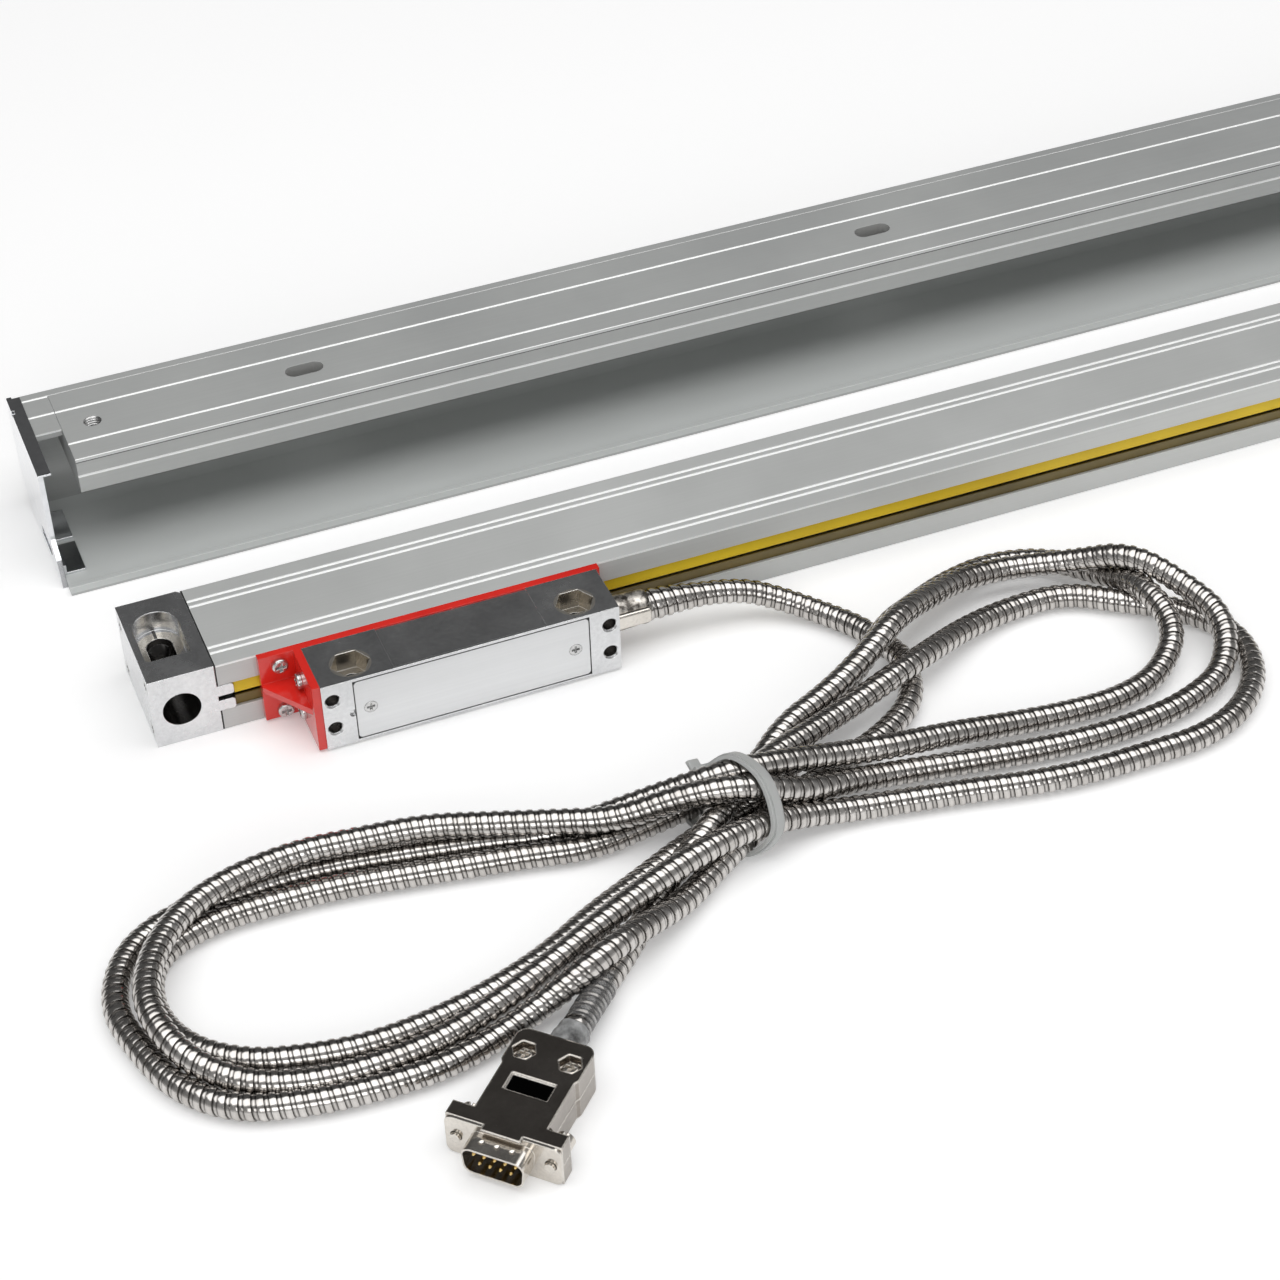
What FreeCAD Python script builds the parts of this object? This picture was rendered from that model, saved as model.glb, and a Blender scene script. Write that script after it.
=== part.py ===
import FreeCAD, Part
import math
import os

V = FreeCAD.Vector

# Frame: X runs along the scale to the right, Y away from the reader head, Z up.
# The origin is on the axis of the left end block's mounting bore, at its bottom face.

# End blocks
scale_length = 536.0            # over both end blocks, for a measuring length of 400
block_length = 19.0
block_depth = 36.5
block_height = 23.5
block_chamfer = 1.2
bore_from_end = 8.5             # mounting bore, from the block's outer face
bore_from_front = 22.0
bore_radius = 3.5
pocket_radius = 6.5             # screw head pocket in the top face
pocket_reach_front = 13.0       # from the bore axis to the pocket's front wall
pocket_back_shift = 1.5         # centre of the pocket's round end, behind the bore axis
pocket_depth = 6.5
adjust_slot_radius = 3.8        # slot under the pocket, down to the cross bore
cross_head_radius = 5.5         # cross bore entered from the front
cross_head_depth = 26.0
cross_bore_radius = 3.3
cross_bore_height = 11.5
tongue_length = 4.7             # tongues that enter the slit
tongue_depth = 2.5
tongue_gap = 1.7
tongue_clear = 0.1
tongue_rounding = 0.8
end_screw_bite = 7.0            # thread of the block screws in the housing's ports

# Housing extrusion
housing_inset = 0.15            # housing faces stand behind the block faces by this much
housing_wall = 2.5
gasket_thick = 0.5
gasket_hole_clear = 0.2
gasket_slit_over = 0.5          # the gasket's slit, past the housing's wall
slit_low = 7.0                  # slit in the front wall
slit_from_top = 7.5             # the slit's upper edge, from the top of the blocks
groove_width = 1.1              # decorative grooves along the top
groove_depth = 0.5
groove_pitch = 2.6
groove_pair_from_edge = 5.7     # outer groove of each pair
port_radius = 1.3               # screw ports for the block screws
port_wall = 1.3
port_from_side = 4.0
port_from_top = 3.9

# Glass scale
glass_thick = 4.0
glass_over_floor = 6.0          # room under the glass for the carriage
glass_from_front = 21.0         # glass mid plane, from the housing's front
glass_end_gap = 6.0
glass_rib_thick = 1.5
glass_rib_drop = 4.2
glass_glue = 0.2
glass_seat_drop = 0.6           # the seat strip ends this far above the ribs' lower edge

# Lip seals
lip_root_thick = 1.1
lip_root_tall = 1.5
lip_root_from_front = 1.0
lip_blade_thick = 0.7
lip_gap = 1.2
lip_end_gap = 0.1               # to the blocks' tongues
lip_nose_back = 0.1

# Reader head
head_park = 35.0                # left end of the head, from the origin
head_length = 88.0
head_depth = 18.6
head_height = 22.5
head_floor = 0.9
head_gap = 2.5                  # between the housing and the head
head_step = 0.3                 # the middle of the head's top is milled down
head_step_inset = 21.5
head_step_front = 0.8
hex_from_end = 10.8
hex_from_front = 7.1
hex_flats = 9.8
hex_depth = 6.0
hex_bore_radius = 2.6
front_hole_radius = 1.9
front_hole_from_end = 3.0
front_hole_low = 6.8
front_hole_pitch = 9.9
front_hole_depth = 6.0
front_hole_sink = 0.5
plate_from_end = 9.2
plate_margin = 1.0              # plate to the head's top and bottom
plate_thick = 1.4
plate_gap = 0.12
plate_screw_inset = 4.4
plate_corner = 1.2
plate_screw_radius = 0.95
plate_screw_length = 4.0
plate_screw_head_radius = 1.9
plate_screw_hole_radius = 1.0
plate_screw_hole_depth = 4.2
plate_screw_head_clear = 0.05
plate_seal_hole_radius = 1.2
seal_thick = 0.4
cavity_inset = 8.6              # cavity inside the plate's outline, lengthwise
cavity_margin = 3.2
head_back_wall = 3.0
notch_radius = 1.2
notch_height = 10.6
notch_left = 0.6                # from the plate's edge
notch_depth = 0.8
board_front = 7.5               # the head's board, from the head's front face
head_board_thick = 1.2
chip_low = 8.0
chip_tall = 1.3
chip_share = 0.7                # a chip's height to its length
board_chips = ((8.0, 8.0), (22.0, 6.0), (34.0, 9.0))    # place from the board's end, length
header_from_end = 3.0
header_long = 9.0
header_low = 9.0
header_high = 15.0
header_over = 1.0               # past the axis of the cable's wires

# Coupling arm and scanning carriage
arm_from_end = 26.0
arm_length = 36.0
arm_thick = 0.8
arm_root_thick = 1.2
arm_root_margin = 3.0
arm_root_over = 2.0
spring_from_arm = 8.0
spring_long = 20.0
spring_deep = 3.6
spring_tall = 3.2
spring_thick = 0.3
carriage_from_end = 13.0
carriage_length = 62.0
carriage_floor_gap = 0.4
carriage_base = 1.8
carriage_front = 8.0            # from the housing's front face
carriage_leg_front = 5.4
carriage_back = 29.4
carriage_leg_back = 3.2
leg_under_rib = 0.5
bearing_radius = 2.5
bearing_width = 2.4
bearing_bore = 0.8
pin_radius = 0.75
roll_gap = 0.15
bearing_from_end = 7.0
edge_bearing_shift = 7.0        # inwards from the face bearings
middle_bearing_shift = 5.0      # from the detector board's end
window_side = 0.5               # round an edge bearing, in the carriage's base
window_end = 1.0
pin_head_over = 0.45
pin_head_tall = 0.5
pin_bite = 2.0                  # edge bearing pins in the carriage's legs
shelf_thick = 1.2
shelf_half = 3.2
shelf_over_edge = 0.7           # the shelves' top above the glass's lower edge
running_gap = 0.2
board_thick = 0.8
sensor_half = 10.0
grating_half = 8.0
grating_thick = 1.0
optics_gap = 0.4
led_radius = 2.0
led_board_rise = 0.5
cell_places = (-6, -2, 2, 6)
cell_half = 1.6
cell_margin = 0.6
grating_margin = 0.3

# Cable, gland and hank
cord_diameter = 7.3
gland_radius = 4.7
gland_length = 14.5
gland_stub_radius = 4.0
gland_stub_length = 7.5
gland_from_back = 7.9           # gland axis, from the head's back face
gland_height = 12.0
gland_flat = 4.1
gland_flat_start = 2.0
gland_flat_depth = 3.0
gland_rim = 0.7
gland_seat = 3.0                # the cable's armour starts this far into the gland
cord_rest = 3.8                 # the axis of cable that lies on the table
core_radius = 1.5               # the cable's wires, from the gland to the head's board
core_shift = 1.0
core_hole_over = 1.0            # the wires' hole, into the cavity
hank_height = 15.4
hank_neck_over = 1.2            # the neck under the tie, past its band
hank_neck_gap = 0.1
hank_neck_reach = 12.0

# Plug
plug_x = 30.2                   # middle of the flange's front face
plug_y = -202.8
plug_turn = -45.0
flange_long = 30.8
flange_tall = 12.5
flange_thick = 0.8
flange_corner = 2.0
flange_low = 0.1
ear_depth = 5.3
jack_pitch = 24.99
jack_radius = 1.4
jack_hole = 1.6
jack_head_radius = 2.5
jack_head_length = 3.6
jack_tip = 1.0                  # past the flange's front
jack_slot_half = 0.35
jack_slot_depth = 1.2
shell_long = 16.9
shell_tall = 8.4
shell_depth = 5.9
shell_wall = 0.45
shell_slope = 10.0
shell_root = 0.2
shell_corner_share = 0.3
shell_corner_most = 2.4
shell_top_lean = 0.2
dimple_radius = 1.1
dimple_places = (-4, 0, 4)
dimple_front = 2.8
dimple_rise = 0.85
insulator_front = 0.8
insulator_long = 6.8
hood_width = 19.4
hood_rear_width = 20.8
hood_length = 33.0
hood_step = 20.5                # where the hood widens
hood_wall = 1.2
hood_corner = 3.0
hood_flare = 1.2
hood_mouth = 8.0
hood_cord_front = 5.0
window_long = 11.6
window_wide = 5.4
window_from_front = 15.8
window_depth = 0.5
hood_screw_pitch = 12.4
hood_screw_back = 26.0
hood_nut_flats = 5.4
hood_nut_depth = 2.6
hood_nut_hole = 1.3
hood_thread_hole = 1.2
hood_boss_wall = 0.7
hood_screw_radius = 1.15
hood_screw_length = 7.6
hood_screw_head = 2.2
hood_screw_head_tall = 1.4
sleeve_radius = 4.75
sleeve_length = 9.0
sleeve_taper = 0.5
lug_half = 5.2                  # lug of the hood over the flange's top edge
lug_thick = 0.9
lug_front = 0.9
lug_gap = 0.1
pin_pitch = 2.77
pin_row_pitch = 2.84
contact_radius = 0.5
contact_out = 5.0
contact_rear = 9.0

# Shipping bracket
bracket_reach = 12.4            # body flange, to the left of the head
bracket_thick = 2.3
bracket_gusset = 2.0
bracket_fork_slot = 3.4
bracket_fork_inset = 24.0
bracket_over = 1.2              # the fork stands past the head's right end by this much
bracket_play = 0.1
bracket_side_back = 0.6         # the side flange, behind the head's front
bracket_gusset_back = 3.0
bracket_gusset_front = 1.2
bracket_screw_share = 0.42      # body screws, along the body flange
bracket_screw_from_back = 5.4   # head screws, from the head's back face
bracket_screw_low = 4.8
bracket_screw_high = 6.6
bracket_screw_bite = 4.4
bracket_screw_hole = 4.6

# Fasteners
m3_radius = 1.25
m3_head_radius = 2.4
m3_head_tall = 1.5
screw_clear = 0.05
cut_over = 1.0                  # a cutting shape passes an open face by this much

# Dust cover, spar and end caps
cover_overhang = 10.6           # cover past the spar at each end
cover_start = -15.1             # left end of the cover, from the origin
cover_front = 54.5              # front lip
cover_depth = 57.0
cover_height = 35.0
cover_wall = 3.0
cover_floor = 2.4
cover_lip = 3.0
cover_lip_root = 2.4
cover_lip_crest = 1.6
cover_ledge_deep = 3.0
cover_ledge_tall = 2.0
cover_line_from_wall = 0.3
cover_cove = 14.0
cover_flange = 22.0
cover_flange_thick = 2.2
spar_depth = 36.6
spar_height = 11.5
spar_chamfer = 0.8
spar_play = 0.1
spar_hole_from_end = 9.5
spar_hole_radius = 2.75
spar_slot_radius = 2.9
spar_slot_length = 12.0
spar_slot_count = 3
spar_first_slot = 76.0          # from each end of the spar
spar_line_width = 1.0
spar_line_depth = 0.45
spar_line_back = 9.6
spar_line_front = 9.3
spar_screw_shares = (0.08, 0.5, 0.92)
spar_screw_bite = 7.5
spar_screw_hole = 8.0
spar_screw_over = 0.2
cap_thick = 1.6
cap_tab_thick = 0.8
cap_tab_deep = 6.5
cap_tab_long = 14.5
cap_tab_starts = (7.5, 24.5)    # from the cover's front
cap_tab_sink = 0.5
cap_tab_tall = 3.5
cap_front = 13.5
cap_rim = 0.6
cap_rim_over = 2.4
cap_rim_back = 1.0
cap_toe = ((4.5, 0.0), (8.0, 8.0), 12.0)    # two corners from the cover's front, height behind
cap_notch = (9.5, 2.0, 0.9)     # from the back, width, depth
cap_slot = (3.0, 14.0, 1.6, 6.0)            # from the plate's front: start, end; radius, height

# Worked out from the sizes above
block_left = -bore_from_end
block_front = -bore_from_front
block_back = block_front + block_depth
scale_right = block_left + scale_length
housing_left = block_left + block_length + gasket_thick
housing_right = scale_right - block_length - gasket_thick
housing_front = block_front + housing_inset
housing_back = block_back - housing_inset
housing_floor = housing_inset
housing_top = block_height - housing_inset
slit_high = block_height - slit_from_top
slit_middle = (slit_low + slit_high) / 2
ceiling = housing_top - housing_wall
floor_inside = housing_floor + housing_wall
glass_mid = housing_front + glass_from_front
glass_front = glass_mid - glass_thick / 2
glass_back = glass_mid + glass_thick / 2
glass_top = ceiling - glass_glue
glass_low = floor_inside + glass_over_floor
head_back = housing_front - head_gap
head_front = head_back - head_depth
head_right = head_park + head_length
head_top = head_floor + head_height
gland_y = head_back - gland_from_back
plate_left = head_park + plate_from_end
plate_right = head_right - plate_from_end
plate_low = head_floor + plate_margin
plate_high = head_top - plate_margin
header_right = plate_right - cavity_inset - header_from_end
header_left = header_right - header_long
carriage_left = head_park + carriage_from_end
carriage_right = carriage_left + carriage_length
carriage_mid = (carriage_left + carriage_right) / 2
leg_front_y = housing_front + carriage_front
leg_back_y = housing_front + carriage_back
leg_top = ceiling - glass_rib_drop - leg_under_rib


# Shape helpers
def box(x0, x1, y0, y1, z0, z1):
    return Part.makeBox(x1 - x0, y1 - y0, z1 - z0, V(x0, y0, z0))


def rod(radius, start, end):
    axis = V(*end) - V(*start)
    return Part.makeCylinder(radius, axis.Length, V(*start), axis)


def taper(radius_start, radius_end, start, end):
    axis = V(*end) - V(*start)
    return Part.makeCone(radius_start, radius_end, axis.Length, V(*start), axis)


def prism(points, along):
    corners = [V(*p) for p in points]
    wire = Part.makePolygon(corners + [corners[0]])
    return Part.Face(wire).extrude(V(*along))


def section_x(points_yz, x0, x1):
    return prism([(x0, y, z) for y, z in points_yz], (x1 - x0, 0, 0))


def hexagon(centre, flats, axis_length):
    reach = flats / math.sqrt(3)
    ring = []
    for step in range(6):
        angle = math.radians(60 * step)
        ring.append((centre[0] + reach * math.cos(angle), centre[1] + reach * math.sin(angle), centre[2]))
    return prism(ring, (0, 0, axis_length))


def join(shapes):
    body = shapes[0]
    for extra in shapes[1:]:
        body = body.fuse(extra)
    return body.removeSplitter()


def carve(body, tools):
    for tool in tools:
        body = body.cut(tool)
    return body


def obround(x0, x1, y, radius, z0, z1):
    ends = [rod(radius, (x, y, z0), (x, y, z1)) for x in (x0, x1)]
    return join(ends + [box(x0, x1, y - radius, y + radius, z0, z1)])


def cross_recess(radius):
    arm = radius * 0.62
    width = radius * 0.2
    deep = radius * 0.5
    first = box(-arm, arm, -width, width, -deep, radius)
    return first.fuse(box(-width, width, -arm, arm, -deep, radius))


# A screw stands on its seat: outward is the way its head looks
def place(shape, seat, outward):
    turn = FreeCAD.Rotation(V(0, 0, 1), V(*outward))
    shape.Placement = FreeCAD.Placement(V(*seat), turn)
    return shape


def flat_screw(seat, outward, shank, length, head_radius):
    sink = head_radius - shank
    body = Part.makeCone(shank, head_radius, sink, V(0, 0, -sink))
    body = body.fuse(Part.makeCylinder(shank, length - sink, V(0, 0, -length))).removeSplitter()
    return place(body.cut(cross_recess(head_radius)), seat, outward)


def pan_screw(seat, outward, shank, length, head_radius, head_tall):
    head = Part.makeCylinder(head_radius, head_tall)
    head = head.makeFillet(head_tall * 0.45, [head.Edges[0]])
    body = head.fuse(Part.makeCylinder(shank, length, V(0, 0, -length))).removeSplitter()
    recess = cross_recess(head_radius)
    recess.translate(V(0, 0, head_tall))
    return place(body.cut(recess), seat, outward)


def sunk_hole(seat, outward, shank, length, head_radius):
    sink = head_radius - shank
    hole = Part.makeCone(shank, head_radius, sink, V(0, 0, -sink))
    return place(hole.fuse(Part.makeCylinder(shank, length, V(0, 0, -length))), seat, outward)


# End blocks
def port_places():
    near = block_front + port_from_side
    far = block_back - port_from_side
    return [(y, z) for y in (near, far) for z in (port_from_top, block_height - port_from_top)]


def left_end_block():
    right = block_left + block_length
    body = box(block_left, right, block_front, block_back, 0, block_height)
    corner = [e for e in body.Edges if abs(e.CenterOfMass.x - right) < 1e-6
              and abs(e.CenterOfMass.y - block_back) < 1e-6 and abs(e.CenterOfMass.z - block_height / 2) < 1e-6]
    body = body.makeChamfer(block_chamfer, corner)
    for low in (slit_low + tongue_clear, slit_middle + tongue_gap / 2):
        high = low + (slit_high - slit_low - tongue_gap) / 2 - tongue_clear
        tongue = box(right, right + tongue_length, block_front, block_front + tongue_depth, low, high)
        rounding = min(tongue_rounding, (high - low) / 3)
        ends = [e for e in tongue.Edges if abs(e.CenterOfMass.x - right - tongue_length) < 1e-6
                and abs(e.CenterOfMass.y - block_front - tongue_depth / 2) < 1e-6]
        body = body.fuse(tongue.makeFillet(rounding, ends))
    pocket_floor = block_height - pocket_depth
    pocket = rod(pocket_radius, (0, pocket_back_shift, pocket_floor), (0, pocket_back_shift, block_height))
    pocket = pocket.fuse(box(-pocket_radius, pocket_radius, -pocket_reach_front, pocket_back_shift,
                             pocket_floor, block_height))
    slot = rod(adjust_slot_radius, (0, 0, cross_bore_height), (0, 0, pocket_floor))
    slot = slot.fuse(box(-adjust_slot_radius, adjust_slot_radius, -pocket_reach_front, 0,
                         cross_bore_height, pocket_floor))
    tools = [pocket, slot, rod(bore_radius, (0, 0, 0), (0, 0, cross_bore_height))]
    tools.append(rod(cross_head_radius, (0, block_front, cross_bore_height),
                     (0, block_front + cross_head_depth, cross_bore_height)))
    tools.append(rod(cross_bore_radius, (0, block_front, cross_bore_height), (0, block_back, cross_bore_height)))
    for y, z in port_places():
        tools.append(sunk_hole((block_left, y, z), (-1, 0, 0), m3_radius + screw_clear, block_length,
                               m3_head_radius + screw_clear))
    return carve(body.removeSplitter(), tools)


def mirrored_end(shape):
    return shape.mirror(V(block_left + scale_length / 2, 0, 0), V(1, 0, 0))


def left_end_gasket():
    x0 = housing_left - gasket_thick
    sheet = box(x0, housing_left, housing_front, housing_back, housing_floor, housing_top)
    tools = [rod(m3_radius + gasket_hole_clear, (x0, y, z), (housing_left, y, z)) for y, z in port_places()]
    slit_back = housing_front + housing_wall + gasket_slit_over
    tools.append(box(x0, housing_left, housing_front, slit_back, slit_low, slit_high))
    return carve(sheet, tools)


def left_end_screws():
    long = block_length + gasket_thick + end_screw_bite
    return [flat_screw((block_left, y, z), (-1, 0, 0), m3_radius, long, m3_head_radius)
            for y, z in port_places()]


# Housing
def housing():
    x0, x1 = housing_left, housing_right
    body = box(x0, x1, housing_front, housing_back, housing_floor, housing_top)
    inside = box(x0, x1, housing_front + housing_wall, housing_back - housing_wall, floor_inside, ceiling)
    body = body.cut(inside)
    body = body.cut(box(x0, x1, housing_front, housing_front + housing_wall, slit_low, slit_high))
    extras = []
    for side in (-1, 1):
        near = glass_mid + side * (glass_thick / 2 + glass_glue)
        far = near + side * glass_rib_thick
        extras.append(box(x0, x1, min(near, far), max(near, far), ceiling - glass_rib_drop, ceiling))
    for y, z in port_places():
        extras.append(rod(port_radius + port_wall, (x0, y, z), (x1, y, z)))
    body = join([body] + extras)
    tools = [rod(port_radius, (x0, y, z), (x1, y, z)) for y, z in port_places()]
    for edge, inward in ((housing_front, 1), (housing_back, -1)):
        for step in (0, groove_pitch):
            y = edge + inward * (groove_pair_from_edge + step)
            half = groove_width / 2
            tools.append(section_x([(y - half, housing_top), (y + half, housing_top),
                                    (y, housing_top - groove_depth)], x0, x1))
    for x, z in bracket_body_screw_places():
        tools.append(rod(m3_radius, (x, housing_front, z), (x, housing_front + housing_wall, z)))
    root_y = housing_front + lip_root_from_front
    for edge, upward in ((slit_low, -1), (slit_high, 1)):
        z0, z1 = sorted((edge, edge + upward * lip_root_tall))
        tools.append(box(x0, x1, root_y, root_y + lip_root_thick, z0, z1))
    return carve(body, tools)


def lip_seal(edge, upward):
    x0 = block_left + block_length + tongue_length + lip_end_gap
    x1 = scale_right - block_length - tongue_length - lip_end_gap
    y = housing_front + lip_root_from_front
    tip = slit_middle + upward * lip_gap / 2
    nose = housing_front + lip_nose_back
    points = [(y, edge + upward * lip_root_tall), (y + lip_root_thick, edge + upward * lip_root_tall),
              (y + lip_root_thick, edge), (nose + lip_blade_thick, tip), (nose, tip), (y, edge)]
    return section_x(points, x0, x1)


# Glass
def glass_scale():
    x0, x1 = housing_left + glass_end_gap, housing_right - glass_end_gap
    return box(x0, x1, glass_front, glass_back, glass_low, glass_top)


def glass_seat():
    x0, x1 = housing_left + glass_end_gap, housing_right - glass_end_gap
    low = ceiling - glass_rib_drop + glass_seat_drop
    outer = box(x0, x1, glass_front - glass_glue, glass_back + glass_glue, low, ceiling)
    return outer.cut(box(x0, x1, glass_front, glass_back, low, glass_top))


# Reader head
def head_hex_places():
    y = head_front + hex_from_front
    return [(head_park + hex_from_end, y), (head_right - hex_from_end, y)]


def plate_screw_places():
    z = (plate_low + plate_high) / 2
    return [(plate_left + plate_screw_inset, z), (plate_right - plate_screw_inset, z)]


def head_front_holes():
    lows = (head_floor + front_hole_low, head_floor + front_hole_low + front_hole_pitch)
    return [(x, z) for x in (head_park + front_hole_from_end, head_right - front_hole_from_end) for z in lows]


def cavity_box(y0, y1):
    return box(plate_left + cavity_inset, plate_right - cavity_inset, y0, y1,
               head_floor + cavity_margin, head_top - cavity_margin)


def bracket_head_screw_places():
    y = head_back - bracket_screw_from_back
    return [(y, head_floor + bracket_screw_low), (y, head_top - bracket_screw_high)]


def head_block():
    body = box(head_park, head_right, head_front, head_back, head_floor, head_top)
    tools = [box(head_park + head_step_inset, head_right - head_step_inset, head_front + head_step_front,
                 head_back, head_top - head_step, head_top)]
    seat_depth = plate_thick + seal_thick
    tools.append(box(plate_left, plate_right, head_front, head_front + seat_depth, plate_low, plate_high))
    tools.append(cavity_box(head_front, head_back - head_back_wall))
    for x, y in head_hex_places():
        tools.append(hexagon((x, y, head_top - hex_depth), hex_flats, hex_depth))
        tools.append(rod(hex_bore_radius, (x, y, head_floor), (x, y, head_top)))
    for x, z in head_front_holes():
        tools.append(rod(front_hole_radius, (x, head_front, z), (x, head_front + front_hole_depth, z)))
        tools.append(taper(front_hole_radius + front_hole_sink, front_hole_radius, (x, head_front, z),
                           (x, head_front + front_hole_sink, z)))
    for x, z in plate_screw_places():
        tools.append(rod(plate_screw_hole_radius, (x, head_front, z),
                         (x, head_front + plate_screw_hole_depth, z)))
    notch_x = plate_left - notch_left
    notch_z = head_floor + notch_height
    tools.append(rod(notch_radius, (notch_x, head_front, notch_z), (notch_x, head_front + notch_depth, notch_z)))
    tools.append(rod(gland_stub_radius, (head_right - gland_stub_length, gland_y, gland_height),
                     (head_right, gland_y, gland_height)))
    core_y = gland_y + core_shift
    tools.append(rod(core_radius, (plate_right - cavity_inset - core_hole_over, core_y, gland_height),
                     (head_right, core_y, gland_height)))
    for y, z in bracket_head_screw_places():
        tools.append(rod(m3_radius, (head_park, y, z), (head_park + bracket_screw_hole, y, z)))
    tools.append(box(head_park + arm_from_end, head_park + arm_from_end + arm_length,
                     head_back - head_back_wall, head_back, slit_middle - arm_thick / 2,
                     slit_middle + arm_thick / 2))
    return carve(body, tools)


def head_cover_plate():
    g = plate_gap
    plate = box(plate_left + g, plate_right - g, head_front, head_front + plate_thick, plate_low + g, plate_high - g)
    corners = [e for e in plate.Edges if e.Length < plate_thick * 1.01 and e.Length > plate_thick * 0.99]
    plate = plate.makeFillet(plate_corner, corners)
    head_hole = plate_screw_head_radius + plate_screw_head_clear
    tools = [sunk_hole((x, head_front, z), (0, -1, 0), plate_screw_hole_radius + screw_clear, plate_thick,
                       head_hole) for x, z in plate_screw_places()]
    return carve(plate, tools)


def cover_plate_seal():
    y0 = head_front + plate_thick
    g = plate_gap
    ring = box(plate_left + g, plate_right - g, y0, y0 + seal_thick, plate_low + g, plate_high - g)
    tools = [cavity_box(y0, y0 + seal_thick)]
    tools += [rod(plate_seal_hole_radius, (x, y0, z), (x, y0 + seal_thick, z)) for x, z in plate_screw_places()]
    return carve(ring, tools)


def cover_plate_screws():
    return [flat_screw((x, head_front, z), (0, -1, 0), plate_screw_radius, plate_screw_length,
                       plate_screw_head_radius) for x, z in plate_screw_places()]


# Coupling arm through the slit, and the carriage that it pulls
def coupling_arm():
    x0 = head_park + arm_from_end
    x1 = x0 + arm_length
    blade = box(x0, x1, head_back - head_back_wall, leg_front_y, slit_middle - arm_thick / 2,
                slit_middle + arm_thick / 2)
    root = box(x0 - arm_root_over, x1 + arm_root_over, head_back - head_back_wall - arm_root_thick,
               head_back - head_back_wall, slit_middle - arm_root_margin, slit_middle + arm_root_margin)
    return join([blade, root])


def arm_spring():
    x0 = head_park + arm_from_end + spring_from_arm
    x1 = x0 + spring_long
    z = slit_middle + arm_thick / 2
    leaf = box(x0, x1, leg_front_y - spring_deep, leg_front_y, z, z + spring_thick)
    upright = box(x0, x1, leg_front_y - spring_thick, leg_front_y, z, z + spring_tall)
    return join([leaf, upright])


def face_bearing_places():
    y = glass_front - roll_gap - bearing_radius
    ends = (carriage_left + bearing_from_end, carriage_right - bearing_from_end)
    return [(ends[0], y), (ends[1], y), (carriage_mid - sensor_half - middle_bearing_shift, y)]


def edge_bearing_places():
    z = glass_low - roll_gap - bearing_radius
    inset = bearing_from_end + edge_bearing_shift
    return [(carriage_left + inset, z), (carriage_right - inset, z)]


shelf_top = glass_low + shelf_over_edge
face_bearing_low = shelf_top + running_gap
edge_bearing_front = glass_mid - bearing_width / 2


def carriage_frame():
    z0 = floor_inside + carriage_floor_gap
    base = box(carriage_left, carriage_right, leg_front_y, leg_back_y, z0, z0 + carriage_base)
    front = box(carriage_left, carriage_right, leg_front_y, leg_front_y + carriage_leg_front, z0, leg_top)
    back = box(carriage_left, carriage_right, leg_back_y - carriage_leg_back, leg_back_y, z0, leg_top)
    shelves = [box(x - shelf_half, x + shelf_half, leg_front_y + carriage_leg_front, glass_front - optics_gap,
                   shelf_top - shelf_thick, shelf_top) for x, y in face_bearing_places()]
    body = join([base, front, back] + shelves)
    tools = [rod(pin_radius, (x, y, shelf_top - shelf_thick), (x, y, shelf_top)) for x, y in
             face_bearing_places()]
    side = bearing_radius + window_side
    end = bearing_width / 2 + window_end
    for x, z in edge_bearing_places():
        tools.append(box(x - side, x + side, glass_mid - end, glass_mid + end, z0, z0 + carriage_base))
        tools.append(rod(pin_radius, (x, leg_front_y, z), (x, leg_back_y, z)))
    return carve(body, tools)


def bearing_pins():
    pins = []
    for x, y in face_bearing_places():
        top = face_bearing_low + bearing_width + running_gap
        stem = rod(pin_radius, (x, y, shelf_top - shelf_thick), (x, y, top))
        pins.append(join([stem, rod(pin_radius + pin_head_over, (x, y, top), (x, y, top + pin_head_tall))]))
    for x, z in edge_bearing_places():
        front = leg_front_y + carriage_leg_front
        back = leg_back_y - carriage_leg_back
        pins.append(rod(pin_radius, (x, front - pin_bite, z), (x, back + pin_bite, z)))
    return pins


def face_bearing(index):
    x, y = face_bearing_places()[index]
    z0 = face_bearing_low
    return rod(bearing_radius, (x, y, z0), (x, y, z0 + bearing_width)).cut(
        rod(bearing_bore, (x, y, z0), (x, y, z0 + bearing_width)))


def edge_bearing(index):
    x, z = edge_bearing_places()[index]
    y0 = edge_bearing_front
    return rod(bearing_radius, (x, y0, z), (x, y0 + bearing_width, z)).cut(
        rod(bearing_bore, (x, y0, z), (x, y0 + bearing_width, z)))


def led_board():
    back = leg_back_y - carriage_leg_back
    z0, z1 = glass_low + led_board_rise, leg_top
    board = box(carriage_mid - sensor_half, carriage_mid + sensor_half, back - board_thick, back, z0, z1)
    z = (z0 + z1) / 2
    lens = rod(led_radius, (carriage_mid, glass_back + optics_gap, z), (carriage_mid, back - board_thick, z))
    return join([board, lens])


def sensor_board():
    y0 = leg_front_y + carriage_leg_front
    y1 = glass_front - optics_gap - grating_thick
    z0, z1 = shelf_top, leg_top
    board = box(carriage_mid - sensor_half, carriage_mid + sensor_half, y0, y0 + board_thick, z0, z1)
    cells = [box(carriage_mid + shift - cell_half, carriage_mid + shift + cell_half, y0 + board_thick, y1,
                 z0 + cell_margin, z1 - cell_margin) for shift in cell_places]
    return join([board] + cells)


def index_grating():
    y1 = glass_front - optics_gap
    return box(carriage_mid - grating_half, carriage_mid + grating_half, y1 - grating_thick, y1,
               shelf_top + grating_margin, leg_top - grating_margin)


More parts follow.
